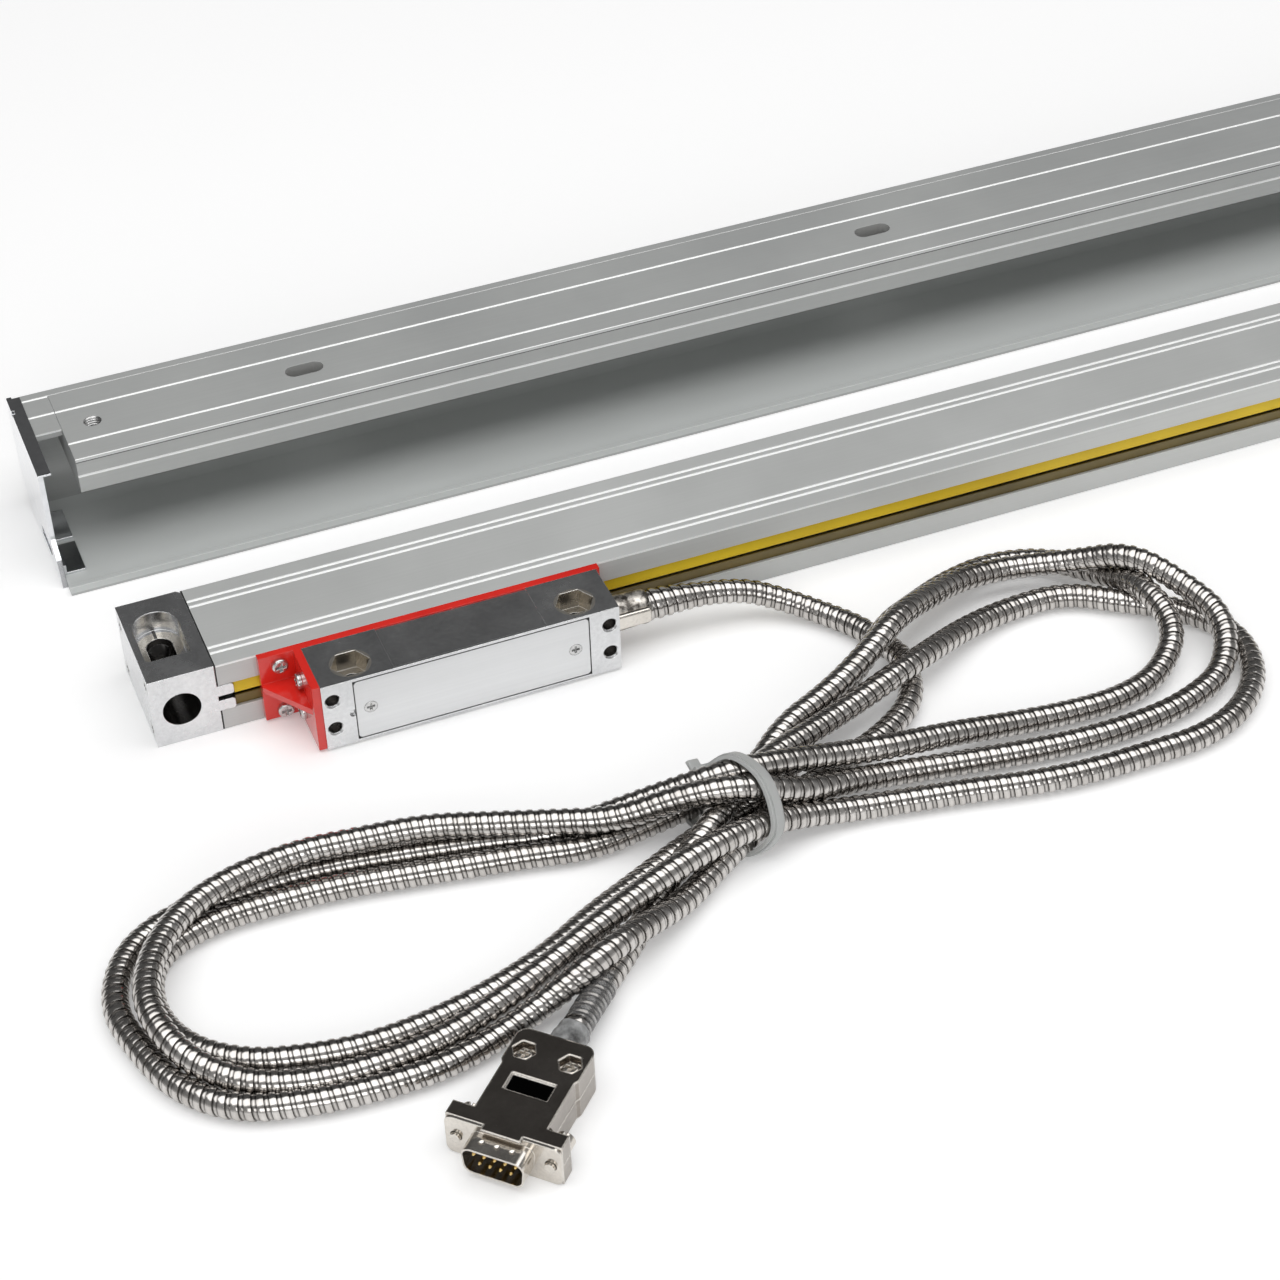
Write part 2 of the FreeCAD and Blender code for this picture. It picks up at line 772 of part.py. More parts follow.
def head_board():
    x0, x1 = plate_left + cavity_inset, plate_right - cavity_inset
    y = head_front + board_front
    z0, z1 = head_floor + cavity_margin, head_top - cavity_margin
    back = y + head_board_thick
    board = box(x0, x1, y, back, z0, z1)
    chips = [box(x0 + at, x0 + at + wide, y - chip_tall, y, chip_low, chip_low + wide * chip_share)
             for at, wide in board_chips]
    header = box(header_left, header_right, back, gland_y + core_shift + header_over, header_low, header_high)
    return join([board, header] + chips)


def cable_core():
    y = gland_y + core_shift
    return rod(core_radius, (header_right, y, gland_height), (head_right + gland_seat, y, gland_height))


# Cable gland, cable and hank
def cable_gland():
    x = head_right
    stub = rod(gland_stub_radius, (x - gland_stub_length, gland_y, gland_height), (x, gland_y, gland_height))
    sleeve = rod(gland_radius, (x, gland_y, gland_height), (x + gland_length, gland_y, gland_height))
    rim = [e for e in sleeve.Edges if abs(e.CenterOfMass.x - x - gland_length) < 1e-6]
    sleeve = sleeve.makeFillet(gland_rim, rim)
    body = join([stub, sleeve])
    low = gland_height - gland_flat
    tools = [box(x + gland_flat_start, x + gland_length, gland_y - gland_radius, gland_y + gland_radius,
                 low - gland_flat_depth, low)]
    seat = x + gland_seat
    tools.append(rod(cord_diameter / 2, (seat, gland_y, gland_height), (x + gland_length, gland_y, gland_height)))
    tools.append(rod(core_radius + core_shift, (x - gland_stub_length, gland_y, gland_height),
                     (seat, gland_y, gland_height)))
    return carve(body, tools)


gland_route = [
    (head_right + gland_seat, gland_y, gland_height), (head_right + 20.0, gland_y, gland_height),
    (163.5, -34.2, 10.2), (174.0, -38.5, 6.6), (183.5, -46.0, 3.9), (191.5, -57.0, cord_rest), (195.5, -69.0, cord_rest)]
plug_axis = (math.sin(math.radians(-plug_turn)), math.cos(math.radians(-plug_turn)))
sleeve_end = hood_length + sleeve_length
plug_mid = flange_tall / 2


def behind_plug(distance):
    return (plug_x + plug_axis[0] * distance, plug_y + plug_axis[1] * distance)


# Corners of the cable behind the plug: from the sleeve's end, and how far below the plug's middle
plug_run = ((-4.0, 0.0), (6.0, 0.0), (17.0, 0.9), (28.0, plug_mid - cord_rest))
plug_route = [behind_plug(sleeve_end + along) + (plug_mid - drop,) for along, drop in plug_run]


def corded_tube(name, points, diameter):
    nodes = [V(*p) for p in points]
    edges = []
    start = nodes[0]
    length = 0.0
    for before, corner, after in zip(nodes, nodes[1:], nodes[2:]):
        incoming = (corner - before).normalize()
        outgoing = (after - corner).normalize()
        turn = incoming.getAngle(outgoing)
        shorter = min((corner - before).Length, (after - corner).Length)
        setback = 0.45 * shorter
        radius = setback / math.tan(turn / 2)
        print(name, "turn", round(math.degrees(turn), 1), "radius", round(radius, 1))
        enter = corner - incoming * setback
        leave = corner + outgoing * setback
        inward = (outgoing - incoming).normalize()
        centre = corner + inward * (radius / math.cos(turn / 2))
        middle = centre - inward * radius
        edges.append(Part.LineSegment(start, enter).toShape())
        edges.append(Part.Arc(enter, middle, leave).toShape())
        length += (enter - start).Length + radius * turn
        start = leave
    edges.append(Part.LineSegment(start, nodes[-1]).toShape())
    length += (nodes[-1] - start).Length
    path = Part.Wire(edges)
    first = (nodes[1] - nodes[0]).normalize()
    ring = Part.Wire(Part.makeCircle(diameter / 2, nodes[0], first))
    tube = path.makePipeShell([ring], True, False)
    expected = math.pi * diameter ** 2 / 4 * length
    print(name, "length", round(length, 1), "volume share", round(tube.Volume / expected, 4))
    return tube


def closed_curve(points, height):
    curve = Part.BSplineCurve()
    curve.interpolate([V(x, y, 0) for x, y in points], PeriodicFlag=True)
    return Part.Face(Part.Wire(curve.toShape())).extrude(V(0, 0, height))


hank_outline = [
    (134, -99), (156, -90), (178, -74), (200, -50), (225, -38), (252, -36), (274, -46), (291, -66),
    (298, -90), (294, -116), (278, -136), (250, -146), (210, -146), (170, -139), (134, -134), (112, -139),
    (86, -154), (60, -166), (34, -174), (8, -177), (-18, -172), (-38, -157), (-50, -136), (-50, -112),
    (-40, -92), (-20, -82), (8, -77), (40, -79), (76, -86), (108, -95)]
hank_right_eye = [(204, -92), (226, -80), (250, -76), (264, -84), (266, -97), (252, -107), (230, -109), (210, -105)]
hank_left_eye = [(66, -116), (34, -104), (6, -99), (-14, -107), (-25, -124), (-18, -141), (2, -150), (28, -149),
                 (52, -138), (68, -126)]
tie_x = 133.5
tie_band = 4.8
tie_thick = 1.2
tie_back = -101.0
tie_front = -131.6
tie_low = 0.1
tie_corner = 4.0
tie_lock_over = 0.8
tie_lock_deep = 3.6
tie_lock_low = 9.0
tie_lock_high = 14.5
tie_tail_half = 2.0
tie_tail_end = 9.5
tie_tail_low = 10.6
tie_tail_high = 11.8


def loop_section(x0, x1, inset, low, high):
    slab = box(x0, x1, tie_front + inset, tie_back - inset, low, high)
    corners = [e for e in slab.Edges if abs(e.Length - (x1 - x0)) < 1e-6]
    return slab.makeFillet(tie_corner - inset, corners)


def cable_tie():
    x0, x1 = tie_x - tie_band / 2, tie_x + tie_band / 2
    top = hank_height + tie_thick
    outer = loop_section(x0, x1, 0, tie_low, top)
    ring = outer.cut(loop_section(x0, x1, tie_thick, tie_low + tie_thick, top - tie_thick))
    lock = box(x0 - tie_lock_over, x1 + tie_lock_over, tie_back, tie_back + tie_lock_deep, tie_lock_low,
               tie_lock_high)
    tail = box(tie_x - tie_tail_half, tie_x + tie_tail_half, tie_back + tie_lock_deep, tie_back + tie_tail_end,
               tie_tail_low, tie_tail_high)
    return join([ring, lock, tail])


def cable_hank():
    body = closed_curve(hank_outline, hank_height)
    body = carve(body, [closed_curve(eye, hank_height) for eye in (hank_right_eye, hank_left_eye)])
    half = tie_band / 2 + hank_neck_over
    x0, x1 = tie_x - half, tie_x + half
    top = hank_height + tie_thick
    inset = tie_thick + hank_neck_gap
    neck = loop_section(x0, x1, inset, tie_low + inset, top - inset)
    gap = box(x0, x1, tie_front - hank_neck_reach, tie_back + hank_neck_reach, -cut_over, top + cut_over)
    return body.cut(gap.cut(neck)).removeSplitter()


# Plug, built about its flange and then turned to where it lies
def on_table(shape):
    shape.Placement = FreeCAD.Placement(V(plug_x, plug_y, 0), FreeCAD.Rotation(V(0, 0, 1), plug_turn))
    return shape


def d_profile(long, tall, y, depth):
    lean = math.tan(math.radians(shell_slope)) * tall / 2
    half = long / 2
    low, high = plug_mid - tall / 2, plug_mid + tall / 2
    body = prism([(-half + lean, y, low), (half - lean, y, low), (half + lean * shell_top_lean, y, high),
                  (-half - lean * shell_top_lean, y, high)], (0, depth, 0))
    corners = [e for e in body.Edges if abs(e.Length - abs(depth)) < 1e-6]
    return body.makeFillet(min(tall * shell_corner_share, shell_corner_most), corners)


def plug_shell():
    flange = box(-flange_long / 2, flange_long / 2, 0, flange_thick, flange_low, flange_tall)
    corners = [e for e in flange.Edges if abs(e.Length - flange_thick) < 1e-6]
    flange = flange.makeFillet(flange_corner, corners)
    body = join([flange, d_profile(shell_long, shell_tall, -shell_depth, shell_depth + shell_root)])
    inner = d_profile(shell_long - 2 * shell_wall, shell_tall - 2 * shell_wall, -shell_depth - 1, shell_depth + 4)
    tools = [inner]
    for side in (-1, 1):
        x = side * jack_pitch / 2
        tools.append(rod(jack_hole, (x, -cut_over, plug_mid), (x, flange_thick + cut_over, plug_mid)))
    slot_half = lug_half + lug_gap
    tools.append(box(-slot_half, slot_half, -cut_over, flange_thick + cut_over, flange_tall - lug_thick - lug_gap,
                     flange_tall + cut_over))
    for shift in dimple_places:
        spot = V(shift, -dimple_front, plug_mid + shell_tall / 2 + dimple_rise)
        dimple = Part.makeSphere(dimple_radius, spot)
        tools.append(dimple)
    return on_table(carve(body, tools))


def contact_places():
    top = [(pin_pitch * (step - 2), plug_mid + pin_row_pitch / 2) for step in range(5)]
    bottom = [(pin_pitch * (step - 1.5), plug_mid - pin_row_pitch / 2) for step in range(4)]
    return top + bottom


def plug_insulator():
    fit = shell_wall + screw_clear
    front = d_profile(shell_long - 2 * fit, shell_tall - 2 * fit, -insulator_front, insulator_long)
    ends = (-insulator_front - cut_over, insulator_long + cut_over)
    tools = [rod(contact_radius, (x, ends[0], z), (x, ends[1], z)) for x, z in contact_places()]
    return on_table(carve(front, tools))


def plug_contacts():
    pins = []
    for x, z in contact_places():
        shoulder = -contact_out + contact_radius
        pin = rod(contact_radius, (x, shoulder, z), (x, contact_rear, z))
        tip = taper(contact_radius, contact_radius * 0.4, (x, shoulder, z), (x, -contact_out, z))
        pins.append(on_table(join([pin, tip])))
    return pins


def hood_outline(grow, z0, z1):
    half = hood_width / 2 + grow
    rear = hood_rear_width / 2 + grow
    start, step, end = flange_thick, hood_step, hood_length + grow
    body = prism([(-half, start, z0), (half, start, z0), (half, step, z0), (rear, step + hood_flare, z0), (rear, end, z0),
                  (-rear, end, z0), (-rear, step + hood_flare, z0), (-half, step, z0)], (0, 0, z1 - z0))
    corners = [e for e in body.Edges if abs(e.Length - (z1 - z0)) < 1e-6 and e.CenterOfMass.y > end - 0.01]
    return body.makeFillet(hood_corner + grow, corners)


def hood_half(low, high, top_half):
    body = hood_outline(0, low, high)
    ears = box(-flange_long / 2, flange_long / 2, flange_thick, ear_depth, low, high)
    body = join([body, ears])
    inner_low = low if top_half else low + hood_wall
    inner_high = high - hood_wall if top_half else high
    tools = [hood_outline(-hood_wall, inner_low, inner_high)]
    tools.append(box(-hood_width / 2 + hood_wall, hood_width / 2 - hood_wall, 0, hood_mouth, inner_low, inner_high))
    tools.append(rod(cord_diameter / 2, (0, hood_length - hood_cord_front, plug_mid),
                     (0, hood_length + cut_over, plug_mid)))
    for side in (-1, 1):
        x = side * jack_pitch / 2
        tools.append(rod(jack_hole, (x, 0, plug_mid), (x, ear_depth + cut_over, plug_mid)))
    return body, tools


def boss(x, low, high):
    return rod(hood_nut_flats / math.sqrt(3) + hood_boss_wall, (x, hood_screw_back, low), (x, hood_screw_back, high))


def plug_hood_upper():
    top = flange_tall
    body, tools = hood_half(plug_mid, top, True)
    body = carve(body, tools)
    posts = [boss(side * hood_screw_pitch / 2, plug_mid, top) for side in (-1, 1)]
    lug = box(-lug_half, lug_half, -lug_front, flange_thick, top - lug_thick, top)
    body = join([body, lug] + posts)
    more = [box(-window_long / 2, window_long / 2, window_from_front - window_wide / 2,
                window_from_front + window_wide / 2, top - window_depth, top)]
    for side in (-1, 1):
        x = side * hood_screw_pitch / 2
        more.append(hexagon((x, hood_screw_back, top - hood_nut_depth), hood_nut_flats, hood_nut_depth))
        more.append(rod(hood_nut_hole, (x, hood_screw_back, plug_mid), (x, hood_screw_back, top)))
    inner = hood_width / 2
    more.append(box(-inner, inner, -cut_over, flange_thick, 0, top - lug_thick))
    return on_table(carve(body, more))


def plug_hood_lower():
    body, tools = hood_half(0, plug_mid, False)
    body = carve(body, tools)
    posts = [boss(side * hood_screw_pitch / 2, 0, plug_mid) for side in (-1, 1)]
    body = join([body] + posts)
    holes = [rod(hood_thread_hole, (side * hood_screw_pitch / 2, hood_screw_back, hood_wall),
                 (side * hood_screw_pitch / 2, hood_screw_back, plug_mid)) for side in (-1, 1)]
    return on_table(carve(body, holes))


def hood_screws():
    screws = []
    for side in (-1, 1):
        seat = (side * hood_screw_pitch / 2, hood_screw_back, flange_tall - hood_nut_depth)
        screws.append(pan_screw(seat, (0, 0, 1), hood_screw_radius, hood_screw_length, hood_screw_head,
                                hood_screw_head_tall))
    for screw in screws:
        spot = screw.Placement.Base
        turned = FreeCAD.Rotation(V(0, 0, 1), plug_turn)
        screw.Placement = FreeCAD.Placement(V(plug_x, plug_y, 0) + turned.multVec(spot), turned)
    return screws


def jackscrew(side):
    x = side * jack_pitch / 2
    back = ear_depth + running_gap
    stem = rod(jack_radius, (x, -jack_tip, plug_mid), (x, back, plug_mid))
    head = rod(jack_head_radius, (x, back, plug_mid), (x, back + jack_head_length, plug_mid))
    end = back + jack_head_length
    slot = box(x - jack_slot_half, x + jack_slot_half, end - jack_slot_depth, end + cut_over, 0, flange_tall)
    return on_table(join([stem, head]).cut(slot))


def plug_sleeve():
    y0, y1 = hood_length, hood_length + sleeve_length
    body = taper(sleeve_radius, sleeve_radius - sleeve_taper, (0, y0, plug_mid), (0, y1, plug_mid))
    return on_table(body.cut(rod(cord_diameter / 2, (0, y0, plug_mid), (0, y1, plug_mid))))


# Shipping bracket between the housing and the head
def bracket_body_screw_places():
    x = head_park - bracket_thick - (bracket_reach - bracket_thick) * bracket_screw_share
    return [(x, (housing_floor + slit_low) / 2), (x, (slit_high + housing_top) / 2)]


def shipping_bracket():
    x0 = head_park - bracket_reach
    y_wall = housing_front
    y_face = y_wall - bracket_thick
    z0, z1 = head_floor, head_top
    parts = [box(x0, head_park, y_face, y_wall, z0, z1)]
    parts.append(box(head_park, head_right + bracket_over, head_back + bracket_play, y_wall, z0, z1))
    parts.append(box(head_park - bracket_thick, head_park, head_front + bracket_side_back, y_wall, z0,
                     z1))
    mid = (z0 + z1) / 2
    gusset = [(x0, y_face, mid), (head_park - bracket_thick, y_face, mid),
              (head_park - bracket_thick, head_front + bracket_gusset_back, mid),
              (x0, y_face - bracket_gusset_front, mid)]
    parts.append(prism(gusset, (0, 0, bracket_gusset)))
    body = join(parts)
    slot_left = head_park + bracket_fork_inset
    tools = [box(slot_left, head_right + bracket_over + cut_over, y_face - cut_over, y_wall + cut_over, slit_middle - bracket_fork_slot / 2,
                 slit_middle + bracket_fork_slot / 2)]
    for x, z in bracket_body_screw_places():
        tools.append(rod(m3_radius + screw_clear, (x, y_face - cut_over, z), (x, y_wall + cut_over, z)))
    for y, z in bracket_head_screw_places():
        tools.append(rod(m3_radius + screw_clear, (head_park - bracket_thick - cut_over, y, z),
                         (head_park + cut_over, y, z)))
    return carve(body, tools)


def bracket_body_screws():
    y = housing_front - bracket_thick
    return [pan_screw((x, y, z), (0, -1, 0), m3_radius, bracket_thick + housing_wall, m3_head_radius, m3_head_tall)
            for x, z in bracket_body_screw_places()]


def bracket_head_screws():
    x = head_park - bracket_thick
    return [pan_screw((x, y, z), (-1, 0, 0), m3_radius, bracket_thick + bracket_screw_bite, m3_head_radius,
                      m3_head_tall)
            for y, z in bracket_head_screw_places()]


# Dust cover with its mounting spar
cover_end = cover_start + scale_length + 2 * cover_overhang
cover_back = cover_front + cover_depth
spar_left = cover_start + cover_overhang
spar_right = cover_end - cover_overhang
spar_back = cover_back - cover_wall - spar_play
spar_front = spar_back - spar_depth
spar_low = cover_height - spar_height
spar_mid_y = (spar_front + spar_back) / 2


def cover_lines():
    wall = cover_back - cover_wall
    return [wall - cover_line_from_wall, wall - spar_line_back]


def line_groove(y, x0, x1, top):
    half = spar_line_width / 2
    return section_x([(y - half, top), (y + half, top), (y, top - spar_line_depth)], x0, x1)


def cover_hood():
    x0, x1 = cover_start, cover_end
    outer = cover_cove + cover_wall
    wall_in = cover_back - cover_wall
    body = box(x0, x1, cover_front, cover_back, 0, cover_height)
    back_edge = [e for e in body.Edges if abs(e.CenterOfMass.y - cover_back) < 1e-6
                 and abs(e.CenterOfMass.z) < 1e-6]
    body = body.makeFillet(outer, back_edge)
    flange_front = cover_back - cover_flange
    hollow = box(x0, x1, cover_front - cut_over, wall_in, cover_floor, cover_height - cover_flange_thick)
    low_edge = [e for e in hollow.Edges if abs(e.CenterOfMass.y - wall_in) < 1e-6
                and abs(e.CenterOfMass.z - cover_floor) < 1e-6]
    hollow = hollow.makeFillet(cover_cove, low_edge)
    body = body.cut(hollow)
    body = body.cut(box(x0, x1, cover_front - cut_over, flange_front, cover_floor + cut_over,
                        cover_height + cut_over))
    lip = section_x([(cover_front, 0), (cover_front + cover_lip_root, 0), (cover_front + cover_lip_crest, cover_lip),
                     (cover_front, cover_lip)], x0, x1)
    ledge = box(x0, x1, wall_in - cover_ledge_deep, wall_in, spar_low - cover_ledge_tall, spar_low)
    body = join([body, lip, ledge])
    tools = [box(spar_left - spar_play, spar_right + spar_play, flange_front - cut_over, wall_in, spar_low,
                 cover_height + cut_over)]
    tools += [line_groove(y, x0, x1, cover_height) for y in cover_lines()]
    tools += [sunk_hole((x, cover_back, z), (0, 1, 0), m3_radius + screw_clear, cover_wall + spar_screw_over,
                        m3_head_radius + screw_clear) for x, z in spar_screw_places()]
    return carve(body, tools)


def spar_screw_places():
    z = cover_height - spar_height / 2
    return [(spar_left + share * (spar_right - spar_left), z) for share in spar_screw_shares]


def spar_slot_places():
    pitch = (scale_length - 2 * spar_first_slot) / (spar_slot_count - 1)
    return [spar_left + spar_first_slot + step * pitch for step in range(spar_slot_count)]


def mounting_spar():
    x0, x1 = spar_left, spar_right
    body = box(x0, x1, spar_front, spar_back, spar_low, cover_height)
    edge = [e for e in body.Edges if abs(e.CenterOfMass.y - spar_front) < 1e-6
            and abs(e.CenterOfMass.z - cover_height) < 1e-6]
    body = body.makeChamfer(spar_chamfer, edge)
    tools = [line_groove(y, x0, x1, cover_height) for y in
             (spar_back - spar_line_back, spar_front + spar_line_front)]
    z = cover_height - spar_height / 2
    half = spar_line_width / 2
    tools.append(section_x([(spar_front, z - half), (spar_front, z + half), (spar_front + spar_line_depth, z)],
                           x0, x1))
    for x in (x0 + spar_hole_from_end, x1 - spar_hole_from_end):
        tools.append(rod(spar_hole_radius, (x, spar_mid_y, spar_low), (x, spar_mid_y, cover_height)))
    reach = spar_slot_length / 2 - spar_slot_radius
    for x in spar_slot_places():
        tools.append(obround(x - reach, x + reach, spar_mid_y, spar_slot_radius, spar_low, cover_height))
    for x, z in spar_screw_places():
        tools.append(rod(m3_radius, (x, spar_back - spar_screw_hole, z), (x, spar_back, z)))
    return carve(body, tools)


def spar_screws():
    return [flat_screw((x, cover_back, z), (0, 1, 0), m3_radius, cover_wall + spar_screw_bite,
                       m3_head_radius)
            for x, z in spar_screw_places()]


def left_end_cap():
    x1 = cover_start
    x0 = x1 - cap_thick
    outer = cover_cove + cover_wall
    front = cover_front + cap_front
    top = cover_height + cap_rim
    plate = box(x0, x1, front, cover_back, 0, top)
    back_edge = [e for e in plate.Edges if abs(e.CenterOfMass.y - cover_back) < 1e-6
                 and abs(e.CenterOfMass.z) < 1e-6]
    plate = plate.makeFillet(outer, back_edge)
    low, high, rise = cap_toe
    toe = section_x([(cover_front + low[0], low[1]), (front, 0), (front, rise),
                     (cover_front + high[0], high[1])], x0, x1)
    tabs = []
    for start in (cover_front + first for first in cap_tab_starts):
        end = start + cap_tab_long
        tabs.append(box(x1, x1 + cap_tab_deep, start, end, cover_floor, cover_floor + cap_tab_thick))
        tabs.append(box(x1 - cap_tab_sink, x1 + cap_tab_thick, start, end, cover_floor,
                        cover_floor + cap_tab_tall))
    rim = box(x0, x1 + cap_rim_over, front, cover_back - cap_rim_back, cover_height, top)
    body = join([plate, toe, rim] + tabs)
    from_back, wide, deep = cap_notch
    notch = cover_back - from_back
    tools = [box(x0 - cut_over, x0 + deep, notch, notch + wide, cover_height - cap_rim, top + cut_over)]
    start, end, radius, middle = cap_slot
    tools.append(obround_y(x0, front + start, front + end, radius, middle))
    return carve(body, tools)


def obround_y(x, y0, y1, radius, z):
    x0, x1 = x - cut_over, x + cap_thick + cut_over
    ends = [rod(radius, (x0, y, z), (x1, y, z)) for y in (y0, y1)]
    return join(ends + [box(x0, x1, y0, y1, z - radius, z + radius)])


def mirrored_cap(shape):
    return shape.mirror(V((cover_start + cover_end) / 2, 0, 0), V(1, 0, 0))


def export(name, shapes):
    solids = shapes if isinstance(shapes, list) else [shapes]
    pieces = [solid for shape in solids for solid in shape.Solids]
    bad = [piece for piece in pieces if not piece.isValid() or piece.Volume <= 0]
    print(name, "solids", len(pieces), "volume", round(sum(p.Volume for p in pieces), 1), "bad" if bad else "")
    whole = pieces[0] if len(pieces) == 1 else Part.makeCompound(pieces)
    whole.exportStep("parts/" + name + ".step")


def main():
    os.makedirs("parts", exist_ok=True)
    block = left_end_block()
    gasket = left_end_gasket()
    screws = left_end_screws()
    cap = left_end_cap()
    pieces = {
        "housing": housing(), "glass_scale": glass_scale(), "glass_seat_strip": glass_seat(),
        "upper_lip_seal": lip_seal(slit_high, 1), "lower_lip_seal": lip_seal(slit_low, -1),
        "left_end_block": block, "right_end_block": mirrored_end(block),
        "left_end_gasket": gasket, "right_end_gasket": mirrored_end(gasket),
        "left_end_screws": screws, "right_end_screws": [mirrored_end(s) for s in screws],
        "shipping_bracket": shipping_bracket(), "bracket_body_screws": bracket_body_screws(),
        "bracket_head_screws": bracket_head_screws(),
        "head_block": head_block(), "head_cover_plate": head_cover_plate(),
        "cover_plate_seal": cover_plate_seal(), "cover_plate_screws": cover_plate_screws(),
        "head_board": head_board(), "cable_core": cable_core(), "coupling_arm": coupling_arm(),
        "arm_spring": arm_spring(),
        "carriage_frame": carriage_frame(), "bearing_pins": bearing_pins(),
        "face_bearing_left": face_bearing(0), "face_bearing_right": face_bearing(1),
        "face_bearing_middle": face_bearing(2), "edge_bearing_left": edge_bearing(0),
        "edge_bearing_right": edge_bearing(1), "led_board": led_board(), "sensor_board": sensor_board(),
        "index_grating": index_grating(), "cable_gland": cable_gland(),
        "cable_gland_run": corded_tube("cable_gland_run", gland_route, cord_diameter),
        "cable_hank": cable_hank(),
        "cable_plug_run": corded_tube("cable_plug_run", plug_route, cord_diameter),
        "cable_tie": cable_tie(), "plug_sleeve": plug_sleeve(), "plug_hood_upper": plug_hood_upper(),
        "plug_hood_lower": plug_hood_lower(), "hood_screws": hood_screws(), "plug_shell": plug_shell(),
        "plug_insulator": plug_insulator(), "plug_contacts": plug_contacts(),
        "left_jackscrew": jackscrew(-1), "right_jackscrew": jackscrew(1),
        "cover_hood": cover_hood(), "mounting_spar": mounting_spar(), "spar_screws": spar_screws(),
        "left_end_cap": cap, "right_end_cap": mirrored_cap(cap)}
    for name, shape in pieces.items():
        export(name, shape)


main()
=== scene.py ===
import math

import bmesh
import bpy
from mathutils import Matrix, Vector


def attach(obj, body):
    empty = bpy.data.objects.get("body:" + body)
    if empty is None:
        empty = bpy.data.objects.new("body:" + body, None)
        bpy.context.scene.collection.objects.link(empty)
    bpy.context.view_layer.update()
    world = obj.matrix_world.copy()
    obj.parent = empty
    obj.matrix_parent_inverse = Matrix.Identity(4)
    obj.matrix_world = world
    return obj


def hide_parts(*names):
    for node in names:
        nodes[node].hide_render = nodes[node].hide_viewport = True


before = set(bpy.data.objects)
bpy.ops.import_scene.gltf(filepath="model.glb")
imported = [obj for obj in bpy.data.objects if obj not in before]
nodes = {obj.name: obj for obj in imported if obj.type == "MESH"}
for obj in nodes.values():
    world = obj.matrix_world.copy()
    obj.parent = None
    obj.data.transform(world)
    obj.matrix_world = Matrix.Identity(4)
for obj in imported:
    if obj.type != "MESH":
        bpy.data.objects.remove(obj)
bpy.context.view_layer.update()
mm = 0.001
print("frame loaded")

# Camera: place and lens in millimetres, angles in degrees, near and far in metres
view = {
    "place": (-95.09, -652.05, 552.86),
    "azimuth": -20.188,
    "elevation": 39.955,
    "roll": -2.271,
    "lens": 83.4,
    "sensor": 36.0,
    "near": 0.05,
    "far": 30,
}


def linkedObject(name, data):
    made = bpy.data.objects.new(name, data)
    bpy.context.scene.collection.objects.link(made)
    return made


def makeCamera():
    azimuth, elevation, roll = (math.radians(view[k]) for k in ("azimuth", "elevation", "roll"))
    back = Vector((
        math.sin(azimuth) * math.cos(elevation),
        -math.cos(azimuth) * math.cos(elevation),
        math.sin(elevation),
    ))
    right = (-back).cross(Vector((0, 0, 1))).normalized()
    up = right.cross(-back)
    across = right * math.cos(roll) + up * math.sin(roll)
    upward = up * math.cos(roll) - right * math.sin(roll)
    data = bpy.data.cameras.new("camera")
    data.lens = view["lens"]
    data.sensor_width = view["sensor"]
    data.clip_start = view["near"]
    data.clip_end = view["far"]
    camera = linkedObject("camera", data)
    turn = Matrix((across, upward, back)).transposed().to_4x4()
    camera.matrix_world = Matrix.Translation(Vector(view["place"]) * mm) @ turn
    bpy.context.scene.camera = camera


makeCamera()
print("camera placed")


# Values that every finish shares
surface = {
    "cloudDetail": 5.0,
    "cloudRough": 0.62,
    "fineDetail": 3.0,
    "speckFiner": 14.0,      # specks, against the clouds
    "lineRough": 0.6,
    "cloudLow": 0.3,         # most of a cloud's values lie between these two
    "cloudHigh": 0.7,
    "fineLow": 0.25,
    "fineHigh": 0.75,
    "edgeSamples": 6,
    "edgeStart": 0.995,      # cosine of the turn at which an edge begins to look worn and lit
    "edgeFull": 0.86,
    # how much brighter an edge is: wear plus a painted highlight
    "wornAndLitBright": 1.35,
    "metalSpread": 0.15,     # how far the roughness wanders, as a share
    "plasticSpread": 0.2,
    "coatRough": 0.08,
    "glassLines": 800.0,
    "glassLow": 0.35,
    "glassHigh": 0.65,
    "glassRough": 0.04,
    "glassThrough": 0.9,
    "glassBend": 1.52,
}


def setInputs(tree, made, inputs):
    for name, value in inputs.items():
        if isinstance(value, bpy.types.NodeSocket):
            tree.links.new(value, made.inputs[name])
        else:
            made.inputs[name].default_value = value


def addNode(tree, kind, inputs=None, **properties):
    made = tree.nodes.new(kind)
    for name, value in properties.items():
        setattr(made, name, value)
    setInputs(tree, made, inputs or {})
    return made


def ramp(tree, factor, stops):
    made = addNode(tree, "ShaderNodeValToRGB", {"Fac": factor})
    elements = made.color_ramp.elements
    while len(elements) < len(stops):
        elements.new(0.5)
    for element, (place, level) in zip(elements, stops):
        element.position = place
        element.color = (*level, 1) if isinstance(level, tuple) else (level, level, level, 1)
    return made.outputs["Color"]


def newGroup(name, inputs, outputs):
    tree = bpy.data.node_groups.new(name, "ShaderNodeTree")
    for label, kind, value in inputs:
        socket = tree.interface.new_socket(label, in_out="INPUT", socket_type=kind)
        if value is not None:
            socket.default_value = value
    for label, kind in outputs:
        tree.interface.new_socket(label, in_out="OUTPUT", socket_type=kind)
    return tree, tree.nodes.new("NodeGroupInput"), tree.nodes.new("NodeGroupOutput")


